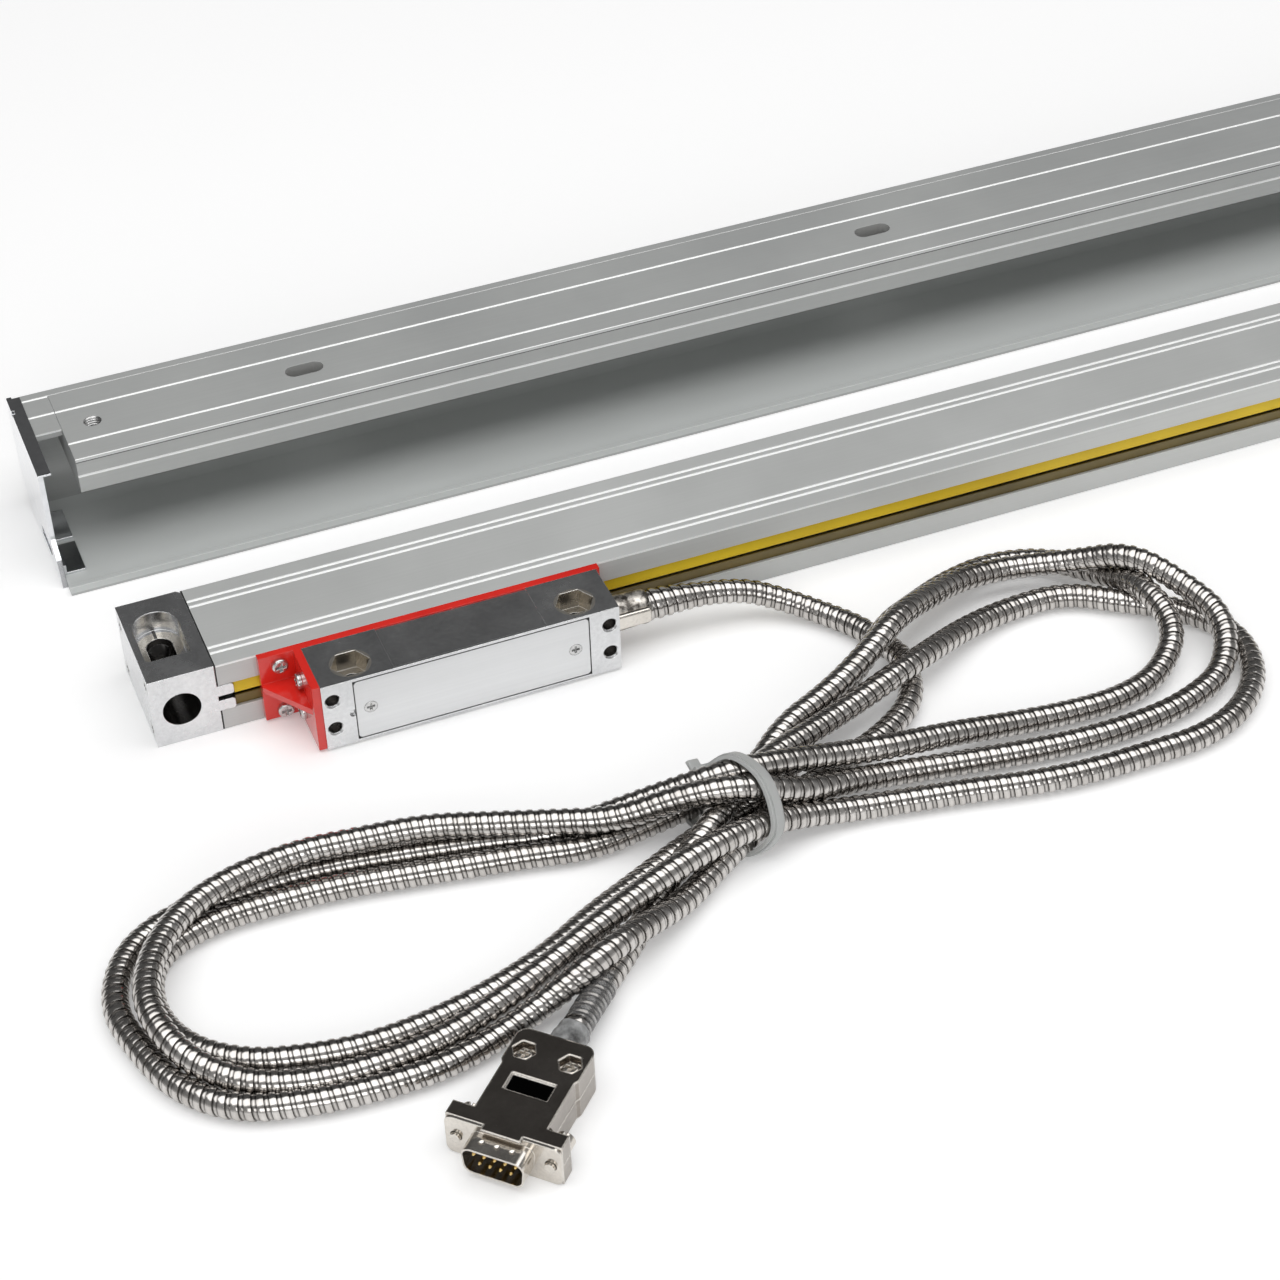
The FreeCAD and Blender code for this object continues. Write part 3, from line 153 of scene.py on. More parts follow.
def makeMottle():
    tree, given, result = newGroup(
        "mottle",
        [("Vector", "NodeSocketVector", None), ("Scale", "NodeSocketFloat", 60.0)],
        [("Cloud", "NodeSocketFloat"), ("Speck", "NodeSocketFloat")],
    )
    cloud = addNode(tree, "ShaderNodeTexNoise", {
        "Vector": given.outputs["Vector"], "Scale": given.outputs["Scale"],
        "Detail": surface["cloudDetail"], "Roughness": surface["cloudRough"],
    })
    finer = addNode(tree, "ShaderNodeMath", {
        0: given.outputs["Scale"], 1: surface["speckFiner"],
    }, operation="MULTIPLY")
    speck = addNode(tree, "ShaderNodeTexNoise", {
        "Vector": given.outputs["Vector"], "Scale": finer.outputs[0],
        "Detail": surface["fineDetail"],
    })
    tree.links.new(cloud.outputs["Fac"], result.inputs["Cloud"])
    tree.links.new(speck.outputs["Fac"], result.inputs["Speck"])
    return tree


def makeGrain():
    tree, given, result = newGroup(
        "grain",
        [
            ("Vector", "NodeSocketVector", None),
            ("Stretch", "NodeSocketVector", (8.0, 900.0, 900.0)),
        ],
        [("Lines", "NodeSocketFloat")],
    )
    stretched = addNode(tree, "ShaderNodeVectorMath", {
        0: given.outputs["Vector"], 1: given.outputs["Stretch"],
    }, operation="MULTIPLY")
    noise = addNode(tree, "ShaderNodeTexNoise", {
        "Vector": stretched.outputs[0], "Scale": 1.0, "Detail": surface["fineDetail"],
        "Roughness": surface["lineRough"],
    })
    tree.links.new(noise.outputs["Fac"], result.inputs["Lines"])
    return tree


def makeSoftEdge():
    tree, given, result = newGroup(
        "softEdge",
        [
            ("Radius", "NodeSocketFloat", 0.0003),
            ("Height", "NodeSocketFloat", 0.5),
            ("Strength", "NodeSocketFloat", 0.1),
            ("Distance", "NodeSocketFloat", 0.0001),
        ],
        [("Normal", "NodeSocketVector"), ("Edge", "NodeSocketFloat")],
    )
    rounded = addNode(tree, "ShaderNodeBevel", {"Radius": given.outputs["Radius"]},
                      samples=surface["edgeSamples"])
    bump = addNode(tree, "ShaderNodeBump", {
        "Height": given.outputs["Height"], "Strength": given.outputs["Strength"],
        "Distance": given.outputs["Distance"], "Normal": rounded.outputs["Normal"],
    })
    face = addNode(tree, "ShaderNodeNewGeometry")
    same = addNode(tree, "ShaderNodeVectorMath", {
        0: rounded.outputs["Normal"], 1: face.outputs["True Normal"],
    }, operation="DOT_PRODUCT")
    edge = addNode(tree, "ShaderNodeMapRange", {
        "Value": same.outputs["Value"], "From Min": surface["edgeStart"],
        "From Max": surface["edgeFull"],
    })
    tree.links.new(bump.outputs["Normal"], result.inputs["Normal"])
    tree.links.new(edge.outputs["Result"], result.inputs["Edge"])
    return tree


def makeBoxMask():
    tree, given, result = newGroup(
        "boxMask",
        [
            ("Vector", "NodeSocketVector", None),
            ("Centre", "NodeSocketVector", (0, 0, 0)),
            ("Half", "NodeSocketVector", (1, 1, 1)),
        ],
        [("Mask", "NodeSocketFloat")],
    )
    off = addNode(tree, "ShaderNodeVectorMath", {
        0: given.outputs["Vector"], 1: given.outputs["Centre"],
    }, operation="SUBTRACT")
    size = addNode(tree, "ShaderNodeVectorMath", {0: off.outputs[0]}, operation="ABSOLUTE")
    over = addNode(tree, "ShaderNodeVectorMath", {
        0: size.outputs[0], 1: given.outputs["Half"],
    }, operation="SUBTRACT")
    axes = addNode(tree, "ShaderNodeSeparateXYZ", {"Vector": over.outputs[0]})
    wide = addNode(tree, "ShaderNodeMath", {
        0: axes.outputs["X"], 1: axes.outputs["Y"],
    }, operation="MAXIMUM")
    most = addNode(tree, "ShaderNodeMath", {
        0: wide.outputs[0], 1: axes.outputs["Z"],
    }, operation="MAXIMUM")
    inside = addNode(tree, "ShaderNodeMath", {0: most.outputs[0], 1: 0.0}, operation="LESS_THAN")
    tree.links.new(inside.outputs[0], result.inputs["Mask"])
    return tree


def makeRoundMask():
    tree, given, result = newGroup(
        "roundMask",
        [
            ("Vector", "NodeSocketVector", None),
            ("Centre", "NodeSocketVector", (0, 0, 0)),
            ("Plane", "NodeSocketVector", (1, 1, 0)),
            ("Radius", "NodeSocketFloat", 0.005),
        ],
        [("Mask", "NodeSocketFloat")],
    )
    off = addNode(tree, "ShaderNodeVectorMath", {
        0: given.outputs["Vector"], 1: given.outputs["Centre"],
    }, operation="SUBTRACT")
    flat = addNode(tree, "ShaderNodeVectorMath", {
        0: off.outputs[0], 1: given.outputs["Plane"],
    }, operation="MULTIPLY")
    away = addNode(tree, "ShaderNodeVectorMath", {0: flat.outputs[0]}, operation="LENGTH")
    inside = addNode(tree, "ShaderNodeMath", {
        0: away.outputs["Value"], 1: given.outputs["Radius"],
    }, operation="LESS_THAN")
    tree.links.new(inside.outputs[0], result.inputs["Mask"])
    return tree


groups = {
    "mottle": makeMottle(),
    "grain": makeGrain(),
    "softEdge": makeSoftEdge(),
    "boxMask": makeBoxMask(),
    "roundMask": makeRoundMask(),
}


def useGroup(tree, name, inputs):
    made = tree.nodes.new("ShaderNodeGroup")
    made.node_tree = groups[name]
    setInputs(tree, made, inputs)
    return made.outputs


def newMaterial(name):
    material = bpy.data.materials.new(name)
    material.use_nodes = True
    tree = material.node_tree
    shader = tree.nodes["Principled BSDF"]
    place = addNode(tree, "ShaderNodeTexCoord").outputs["Object"]
    return material, tree, shader, place


# A metal: two shades mottled together, brushed or cast, with edges worn and painted bright as
# highlight.
# A patch is a mask's name, its settings and the colour painted there, mostly highlight, light or
# shade;
# turn and shift bring the patches to the axes of a piece that stands askew.
def metal(name, dark, light, rough, scale=40.0, stretch=None, metallic=1.0, edge=0.0003,
          wear=0.25, bump=0.12, grain=0.14, edgeColour=None, patches=(), turn=None, shift=None,
          spread=0.2):
    material, tree, shader, place = newMaterial(name)
    mottle = useGroup(tree, "mottle", {"Vector": place, "Scale": scale})
    texture = mottle["Speck"]
    if stretch:
        texture = useGroup(tree, "grain", {"Vector": place, "Stretch": stretch})["Lines"]
    soft = useGroup(tree, "softEdge", {"Radius": edge, "Height": texture, "Strength": bump})
    body = ramp(tree, mottle["Cloud"], [(0.5 - spread, dark), (0.5 + spread, light)])
    fine = ramp(tree, texture, [(surface["fineLow"], 1 - grain), (surface["fineHigh"], 1.0)])
    colour = addNode(tree, "ShaderNodeMix", {"Factor": 1.0, "A": body, "B": fine},
                     data_type="RGBA", blend_type="MULTIPLY")
    # edges take edgeColour: wear plus a painted highlight, and painted shade where edgeColour is
    # dark
    wornAndLitEdge = addNode(tree, "ShaderNodeMath", {0: soft["Edge"], 1: wear}, operation="MULTIPLY")
    bright = edgeColour or tuple(min(1.0, c * surface["wornAndLitBright"]) for c in light)
    spot = place
    if turn is not None:
        spot = addNode(tree, "ShaderNodeMapping", {
            "Vector": place, "Rotation": (0, 0, turn), "Location": shift,
        }).outputs["Vector"]
    for mask, settings, level in patches:
        where = useGroup(tree, mask, {"Vector": spot, **settings})["Mask"]
        colour = addNode(tree, "ShaderNodeMix", {
            "Factor": where, "A": colour.outputs["Result"], "B": (*level, 1),
        }, data_type="RGBA")
    colour = addNode(tree, "ShaderNodeMix", {
        "Factor": wornAndLitEdge.outputs[0], "A": colour.outputs["Result"], "B": (*bright, 1),
    }, data_type="RGBA")
    roughness = addNode(tree, "ShaderNodeMapRange", {
        "Value": mottle["Cloud"],
        "From Min": surface["cloudLow"], "From Max": surface["cloudHigh"],
        "To Min": rough * (1 - surface["metalSpread"]),
        "To Max": rough * (1 + surface["metalSpread"]),
    })
    tree.links.new(colour.outputs["Result"], shader.inputs["Base Color"])
    tree.links.new(roughness.outputs["Result"], shader.inputs["Roughness"])
    tree.links.new(soft["Normal"], shader.inputs["Normal"])
    shader.inputs["Metallic"].default_value = metallic
    return material


# A plastic or rubber with a slight grain
def plastic(name, dark, light, rough, scale=30.0, bump=0.06, edge=0.0003, coat=0.0, through=0.0):
    material, tree, shader, place = newMaterial(name)
    mottle = useGroup(tree, "mottle", {"Vector": place, "Scale": scale})
    soft = useGroup(tree, "softEdge", {"Radius": edge, "Height": mottle["Speck"], "Strength": bump})
    body = ramp(tree, mottle["Cloud"],
                [(surface["cloudLow"], dark), (surface["cloudHigh"], light)])
    roughness = addNode(tree, "ShaderNodeMapRange", {
        "Value": mottle["Speck"], "To Min": rough * (1 - surface["plasticSpread"]),
        "To Max": rough * (1 + surface["plasticSpread"]),
    })
    tree.links.new(body, shader.inputs["Base Color"])
    tree.links.new(roughness.outputs["Result"], shader.inputs["Roughness"])
    tree.links.new(soft["Normal"], shader.inputs["Normal"])
    shader.inputs["Coat Weight"].default_value = coat
    shader.inputs["Coat Roughness"].default_value = surface["coatRough"]
    shader.inputs["Transmission Weight"].default_value = through
    return material


# Clear glass with fine lines across the scale
def glass(name, tint, coated):
    material, tree, shader, place = newMaterial(name)
    lines = addNode(tree, "ShaderNodeTexWave", {"Vector": place, "Scale": surface["glassLines"]},
                    bands_direction="X")
    colour = ramp(tree, lines.outputs["Fac"],
                  [(surface["glassLow"], tint), (surface["glassHigh"], coated)])
    tree.links.new(colour, shader.inputs["Base Color"])
    shader.inputs["Roughness"].default_value = surface["glassRough"]
    shader.inputs["Transmission Weight"].default_value = surface["glassThrough"]
    shader.inputs["IOR"].default_value = surface["glassBend"]
    return material


# Satin anodised aluminium, drawn along the scale
anodised = {
    "dark": (0.44, 0.45, 0.445),
    "light": (0.5, 0.51, 0.5),
    "rough": 0.45,
    "scale": 12.0,
    "stretch": (4.0, 1500.0, 1500.0),
    "metallic": 0.25,
    "bump": 0.03,
    "grain": 0.05,
    # near-white edges: wear plus a painted highlight
    "wear": 0.7,
    "edgeColour": (0.92, 0.93, 0.92),
}
paintedHighlight = (0.95, 0.96, 0.95)       # painted highlight along edges and grooves
shadowLine = (0.1, 0.1, 0.1)
# painted light on the spar's slot walls, which lie in shade
slotPaintedLight = (0.5, 0.5, 0.49)
# painted light on the front of the cover's floor
coverFloorLight = (0.58, 0.6, 0.59)
pocketMetalAndLight = (0.95, 0.9, 0.81)     # machined pocket walls: warm metal, painted brighter as painted light
# painted shade on the pockets' floors
pocketFloorShade = (0.3, 0.28, 0.25)
boreShade = (0.14, 0.135, 0.13)     # painted shade inside the bores
# painted shade inside the screw holes
screwHole = (0.4, 0.39, 0.38)
# painted shade in the gap of the plug's hood
hoodGapShade = (0.01, 0.01, 0.01)

# Where a finish changes on a piece, mostly painted highlights, light and shade, in millimetres
lengthMarks = {"middle": 250, "half": 1000}     # a line runs past both ends of the scale
# each "line" is a painted highlight along an edge: its lowest and highest height
housingMarks = {"line": (22.7, 23.25)}
# the lit floor is painted light on the front of the cover's floor
coverMarks = {"line": (34.4, 34.93), "litFloorCentre": (250, 70, 2), "litFloorHalf": (300, 30, 1.2)}
sparMarks = {
    # painted highlights along the spar's top grooves, its front face and the chamfer's edge
    # across, height, half depth and half height
    "grooves": [(98.8, 34.7, 0.6, 0.25), (81.1, 34.7, 0.6, 0.25), (72.07, 29.25, 0.2, 0.55),
                (72.6, 34.95, 0.14, 0.3)],
    "shadow": (71.8, 34.2, 0.3, 0.13),
    "slots": (71.5, 263.5, 455.5),
    "slotAcross": 90.1,
    "slotHeight": 29,
    "slotHalf": (6.1, 3, 5.7),
}
blockMarks = {
    "pocket": (0, 0),
    "pocketRadius": 6.8,
    "boreRadius": 3.9,
    "crossBores": [(0, 11.5), (519, 11.5)],     # along and height
    "crossRadius": 5.52,
}
headMarks = {
    "pockets": [(45.8, -35.85), (112.2, -35.85)],
    "pocketRadius": 5.9,
    "boreRadius": 2.65,
    "screwHoles": [(38, 7.7), (38, 17.6), (120, 7.7), (120, 17.6)],
    "screwRadius": 1.93,
    # painted shade on the floor of both pockets
    "floorCentre": (79, -35.85, 17.4),
    "floorHalf": (40, 5.2, 0.05),
}
hoodMarks = {
    "turn": 45,                         # degrees, to the plug's own axes
    "shift": (-164.76, 122.05, 0),
    # where the hood's gap is painted as shade
    "gapCentre": (0, 15.8, 11.9),
    "gapHalf": (5.7, 2.6, 0.4),
}


def boxPatch(centre, half, level):
    return ("boxMask", {"Centre": Vector(centre) * mm, "Half": Vector(half) * mm}, level)


# a painted highlight in a band of heights along the whole piece
def highlightBand(low, high):
    return boxPatch((lengthMarks["middle"], 0, (low + high) / 2),
                    (lengthMarks["half"], lengthMarks["half"], (high - low) / 2), paintedHighlight)


# a line painted along the whole piece, a painted highlight unless another level is given
def paintedLine(y, z, halfDepth, halfHeight, level=paintedHighlight):
    return boxPatch((lengthMarks["middle"], y, z), (lengthMarks["half"], halfDepth, halfHeight),
                    level)


def roundPatch(x, y, radius, level):
    return ("roundMask", {"Centre": Vector((x, y, 0)) * mm, "Radius": radius * mm}, level)


def frontHole(x, z, radius, level):
    return ("roundMask", {
        "Centre": Vector((x, 0, z)) * mm, "Plane": (1, 0, 1), "Radius": radius * mm,
    }, level)


def sparPatches():
    found = [paintedLine(*groove) for groove in sparMarks["grooves"]]
    found.append(paintedLine(*sparMarks["shadow"], shadowLine))
    for x in sparMarks["slots"]:    # the slot's walls, below the top face, with painted light
        centre = (x, sparMarks["slotAcross"], sparMarks["slotHeight"])
        found.append(boxPatch(centre, sparMarks["slotHalf"], slotPaintedLight))
    return found


def blockPatches():
    found = [roundPatch(*blockMarks["pocket"], blockMarks["pocketRadius"], pocketMetalAndLight),
             roundPatch(*blockMarks["pocket"], blockMarks["boreRadius"], boreShade)]
    for spot in blockMarks["crossBores"]:
        found.append(frontHole(*spot, blockMarks["crossRadius"], boreShade))
    return found


def headPatches():
    found = []
    for radius, level in (("pocketRadius", pocketMetalAndLight), ("boreRadius", boreShade)):
        for spot in headMarks["pockets"]:
            found.append(roundPatch(*spot, headMarks[radius], level))
    for spot in headMarks["screwHoles"]:
        found.append(frontHole(*spot, headMarks["screwRadius"], screwHole))
    found.append(boxPatch(headMarks["floorCentre"], headMarks["floorHalf"], pocketFloorShade))
    return found


def anodisedMetal(name, patches, **changes):
    return metal(name, patches=patches, **{**anodised, **changes})


finishes = {
    "profile": anodisedMetal("profileAnodised", [highlightBand(*housingMarks["line"])],
                             dark=(0.53, 0.54, 0.53), light=(0.59, 0.6, 0.59)),
    "spar": anodisedMetal("sparAnodised", sparPatches(), wear=0.2),
    "cover": anodisedMetal("coverAnodised", [
        highlightBand(*coverMarks["line"]),
        boxPatch(coverMarks["litFloorCentre"], coverMarks["litFloorHalf"], coverFloorLight)]),
    "block": metal("blockCast", (0.68, 0.685, 0.695), (0.8, 0.805, 0.81), 0.27, scale=70.0,
                   bump=0.18, wear=0.5, patches=blockPatches()),
    "head": metal("headMilled", (0.66, 0.665, 0.675), (0.78, 0.785, 0.79), 0.25, scale=60.0,
                  bump=0.16, wear=0.5, patches=headPatches()),
    # the plate's edges painted dark: painted shade of the gap round it
    "plate": metal("plateBrushed", (0.68, 0.685, 0.69), (0.74, 0.745, 0.75), 0.36, scale=25.0,
                   stretch=(6.0, 900.0, 900.0), bump=0.03, grain=0.05, wear=0.9,
                   edgeColour=(0.12, 0.12, 0.12), edge=0.00025),
    "machined": metal("aluminiumMachined", (0.6, 0.6, 0.62), (0.7, 0.7, 0.72), 0.3, scale=25.0,
                      stretch=(6.0, 900.0, 900.0), bump=0.04),
    "steel": metal("screwSteel", (0.55, 0.55, 0.55), (0.72, 0.72, 0.71), 0.25, scale=200.0),
    "nickel": metal("nickelPlate", (0.62, 0.58, 0.53), (0.8, 0.76, 0.7), 0.17, scale=90.0,
                    bump=0.05),
    # the hood's bright thick edges: wear plus a painted highlight
    "hoodNickel": metal("hoodNickel", (0.3, 0.27, 0.24), (0.42, 0.385, 0.35), 0.12, scale=60.0,
                        bump=0.03, wear=1.0, edge=0.0008, edgeColour=(0.92, 0.88, 0.82),
                        turn=math.radians(hoodMarks["turn"]),
                        shift=Vector(hoodMarks["shift"]) * mm,
                        patches=[boxPatch(hoodMarks["gapCentre"], hoodMarks["gapHalf"],
                                          hoodGapShade)]),
    "crimped": metal("crimpedNickel", (0.1, 0.09, 0.08), (0.8, 0.76, 0.7), 0.34, scale=300.0,
                     bump=0.6, spread=0.09),
    "chrome": metal("chromeCap", (0.72, 0.73, 0.75), (0.84, 0.85, 0.87), 0.1, scale=20.0,
                    bump=0.02),
    "spring": metal("springSteel", (0.4, 0.41, 0.43), (0.55, 0.56, 0.58), 0.22, scale=60.0),
    "gold": metal("contactGold", (0.75, 0.5, 0.18), (0.92, 0.68, 0.28), 0.2, scale=300.0),
    "red": plastic("redPlastic", (0.62, 0.012, 0.008), (0.78, 0.03, 0.02), 0.22, coat=0.5),
    "yellow": plastic("yellowLip", (0.6, 0.4, 0.006), (0.74, 0.53, 0.015), 0.4, scale=20.0),
    # the lower lip is the same yellow seal, painted dark olive as painted shade
    "lowerLipShade": plastic("lowerLipPaintedShade", (0.09, 0.065, 0.012), (0.17, 0.12, 0.025), 0.5, scale=20.0),
    "rubber": plastic("blackRubber", (0.012, 0.012, 0.012), (0.03, 0.03, 0.03), 0.6),
    "black": plastic("blackPlastic", (0.01, 0.01, 0.011), (0.022, 0.022, 0.024), 0.38),
    "board": plastic("boardGreen", (0.01, 0.09, 0.03), (0.02, 0.16, 0.06), 0.35, coat=0.4),
    "wire": plastic("wireInsulation", (0.3, 0.3, 0.28), (0.5, 0.5, 0.47), 0.45),
    "nylon": plastic("tieNylon", (0.53, 0.54, 0.53), (0.63, 0.64, 0.63), 0.34, through=0.2),
    "sleeve": plastic("sleeveGrey", (0.22, 0.23, 0.23), (0.4, 0.41, 0.41), 0.35, through=0.2),
    "shrink": plastic("shrinkSleeveClear", (0.42, 0.42, 0.42), (0.62, 0.62, 0.62), 0.1,
                      scale=160.0, through=0.88),
    "collar": plastic("collarClear", (0.12, 0.12, 0.12), (0.6, 0.61, 0.61), 0.22, scale=260.0,
                      bump=0.5, through=0.4),
    "scaleGlass": glass("scaleGlass", (0.82, 0.93, 0.9), (0.45, 0.5, 0.5)),
    "gratingGlass": glass("gratingGlass", (0.8, 0.88, 0.92), (0.3, 0.3, 0.32)),
}

nodeFinish = {
    "profile": ["housing"],
    "spar": ["mounting_spar"],
    "cover": ["cover_hood"],
    "block": ["left_end_block", "right_end_block"],
    "head": ["head_block"],
    "plate": ["head_cover_plate"],
    "machined": ["carriage_frame", "coupling_arm"],
    "steel": ["left_end_screws", "right_end_screws", "bracket_body_screws", "bracket_head_screws",
              "cover_plate_screws", "spar_screws", "bearing_pins", "face_bearing_left",
              "face_bearing_right", "face_bearing_middle", "edge_bearing_left",
              "edge_bearing_right"],
    "nickel": ["cable_gland", "plug_shell", "hood_screws", "left_jackscrew", "right_jackscrew"],
    "hoodNickel": ["plug_hood_upper", "plug_hood_lower"],
    "chrome": ["left_end_cap", "right_end_cap"],
    "spring": ["arm_spring"],
    "gold": ["plug_contacts"],
    "red": ["shipping_bracket"],
    "yellow": ["upper_lip_seal"],
    "lowerLipShade": ["lower_lip_seal"],
    "rubber": ["left_end_gasket", "right_end_gasket", "cover_plate_seal", "glass_seat_strip"],
    "black": ["plug_insulator"],
    "board": ["head_board", "led_board", "sensor_board"],
    "wire": ["cable_core"],
    "scaleGlass": ["glass_scale"],
    "gratingGlass": ["index_grating"],
    "nylon": ["cable_tie"],
    "sleeve": ["plug_sleeve"],
}


def paint(piece, finish):
    piece.data.materials.clear()
    piece.data.materials.append(finishes[finish])


for finish, names in nodeFinish.items():
    for name in names:
        paint(nodes[name], finish)
print("CAD nodes painted")


def finishedObject(name, mesh, finish, body, hides):
    piece = linkedObject(name, mesh)
    paint(piece, finish)
    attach(piece, body)
    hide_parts(*hides)
    return piece


# Armoured cable: its route in millimetres, from the gland to the plug
hose = {
    "diameter": 7.3,
    "groove": 3.18,
    "pitch": 3.1,
    # share of the pitch, height above the groove or below the outside, and brightness: painted
    # shade, darkest in the groove's floor
    "grooveShape": [(0.0, 0.0, 0.0), (0.2, 0.13, 0.9), (0.4, 0.0, 0.0)],
    "bandShape": [(0.44, 0.13, 0.8), (0.7, 0.0, 1.0), (0.96, 0.13, 0.8)],
    "crisp": (0.0, 0.8),    # levels of painted shade at which the edges stay sharp
    "flareEnd": 26.0,
    "flare": 0.28,
    "sides": 18,
    "resolution": 10,
    "cloudScale": 120.0,
    "dark": (0.5, 0.475, 0.45),
    "light": (0.72, 0.695, 0.67),
    "deep": (0.07, 0.065, 0.06),
    "rough": 0.17,
    "bump": 0.12,
    "bumpHeight": 0.0004,
    "gland": [(126, -32.25, 12), (143, -32.25, 12), (163.5, -34.2, 10.2), (174, -38.5, 6.6),
              (183.5, -46, 3.9), (191.5, -57, 3.8), (195.5, -69, 3.8)],
    "underLoops": [(197, -76, 3.8), (192, -92, 3.8), (178, -102, 3.8), (162, -108, 3.8),
                   (146, -115, 4.3), (131, -123, 5.2), (116, -132, 5), (102, -142, 5.2)],
    "outerLeft": [(88, -150, 10), (74, -158, 13.5), (58, -162, 7.5), (42, -166, 3.8),
                  (26, -170, 3.8), (8, -170, 3.8), (-8, -168, 3.8), (-25, -163, 3.8),
                  (-37, -150, 3.8), (-42, -134, 3.8), (-45, -118, 3.8), (-38, -101, 3.8),
                  (-23, -92, 3.8), (-6, -91, 3.8), (11, -90, 3.8), (28, -92, 3.8),
                  (44, -95, 3.8), (61, -98, 3.8), (78, -103, 4), (94, -105, 7.5),
                  (110, -108, 12), (126, -114, 19)],
    "innerRight": [(142, -114, 17), (159, -112, 11.5), (176, -114, 10.5), (192, -113, 8),
                   (210, -113, 5), (226, -114, 3.8), (244, -115, 4), (260, -110, 4),
                   (272, -98, 8), (270, -80, 12), (266, -65, 5), (256, -51, 4), (239, -46, 4),
                   (222, -50, 5), (208, -58, 7.5), (194, -68, 12), (181, -78, 8),
                   (166, -86, 4), (154, -98, 3.8), (142, -110, 4.4), (126, -117, 5.2)],
    "innerLeft": [(110, -122, 4.5), (94, -129, 3.8), (78, -136, 3.8), (64, -144, 3.8),
                  (48, -150, 3.8), (32, -154, 3.8), (14, -156, 3.8), (-2, -154, 3.8),
                  (-19, -149, 3.8), (-32, -137, 3.8), (-36, -120, 3.8), (-30, -104, 3.8),
                  (-13, -98, 3.8), (4, -98, 3.8), (21, -99, 3.8), (38, -102, 3.8),
                  (54, -105, 3.8), (71, -108, 3.8), (88, -112, 3.8), (104, -110, 4.3),
                  (122, -108, 5.2)],
    "middleRight": [(138, -104, 6), (151, -94, 10), (167, -88, 11.5), (182, -81, 15),
                    (196, -72, 18), (210, -63, 13.5), (225, -55, 9.5), (242, -54, 7.5),
                    (258, -62, 10.5), (270, -72, 17), (280, -86, 13), (285, -102, 10.5),
                    (277, -117, 5), (260, -124, 4), (244, -126, 3.8), (227, -126, 3.8),
                    (210, -124, 3.8), (193, -121, 3.8), (176, -118, 4), (160, -118, 6.5),
                    (144, -122, 12), (127, -121, 19.6)],
    "topLeft": [(111, -116, 17), (95, -112, 11.5), (79, -106, 11.5), (63, -100, 11.5),
                (47, -94, 11.5), (30, -92, 11.5), (14, -90, 11.5), (-4, -92, 11.5),
                (-20, -98, 11), (-32, -111, 11.5), (-38, -127, 11.5), (-34, -144, 8.5),
                (-22, -156, 4.5), (-6, -162, 4), (11, -163, 3.8), (28, -162, 4.5),
                (44, -158, 6.5), (60, -153, 9), (76, -147, 12), (92, -140, 12.5),
                (108, -135, 14), (124, -130, 12.7)],
    "outerRight": [(140, -126, 8), (157, -126, 4), (174, -129, 3.8), (190, -132, 3.8),
                   (207, -136, 3.8), (224, -138, 3.8), (241, -138, 3.8), (258, -138, 3.8),
                   (274, -132, 3.8), (286, -119, 3.8), (289, -102, 3.8), (280, -87, 3.8),
                   (266, -77, 3.8), (252, -67, 3.8), (234, -67, 3.8), (218, -72, 6),
                   (204, -80, 9.5), (189, -88, 12), (172, -94, 10.5), (157, -100, 11),
                   (141, -106, 12), (126, -116, 11.5)],
    "underStrands": [(114, -126, 11), (99, -134, 5), (88, -145, 3.8)],
    "plug": [(79.70, -153.30, 3.8), (71.92, -161.08, 5.35), (64.14, -168.86, 6.25),
             (57.07, -175.93, 6.25)],
    "parts": ["gland", "underLoops", "outerLeft", "innerRight", "innerLeft", "middleRight",
              "topLeft", "outerRight", "underStrands", "plug"],
}


def routeCurve():
    points = [Vector(p) * mm for part in hose["parts"] for p in hose[part]]
    curve = bpy.data.curves.new("hoseRoute", "CURVE")
    curve.dimensions = "3D"
    curve.resolution_u = hose["resolution"]
    spline = curve.splines.new("NURBS")
    spline.points.add(len(points) - 1)
    for point, place in zip(spline.points, points):
        point.co = (*place, 1)
    spline.order_u = 3
    spline.use_endpoint_u = True
    return linkedObject("hoseRoute", curve)


def readPath(route):
    bpy.context.view_layer.update()
    line = bpy.data.meshes.new_from_object(route)
    path = [v.co.copy() for v in line.vertices]
    bpy.data.meshes.remove(line)
    return path


def pathLength(path):
    return sum((b - a).length for a, b in zip(path, path[1:]))


# One turn of the armour: the groove with a low rib in it, and the crowned band beside it
def bandProfile():
    outer, pitch = hose["diameter"] / 2, hose["pitch"]
    low = [(share * pitch, hose["groove"] + rise, level)
           for share, rise, level in hose["grooveShape"]]
    high = [(share * pitch, outer - drop, level) for share, drop, level in hose["bandShape"]]
    return low + high


# How near counts as the same: points of a tube's turns in millimetres, brightness levels,
# and points of a finished mesh in metres
weld = {"turns": 0.01, "levels": 0.01, "mesh": 1e-6}


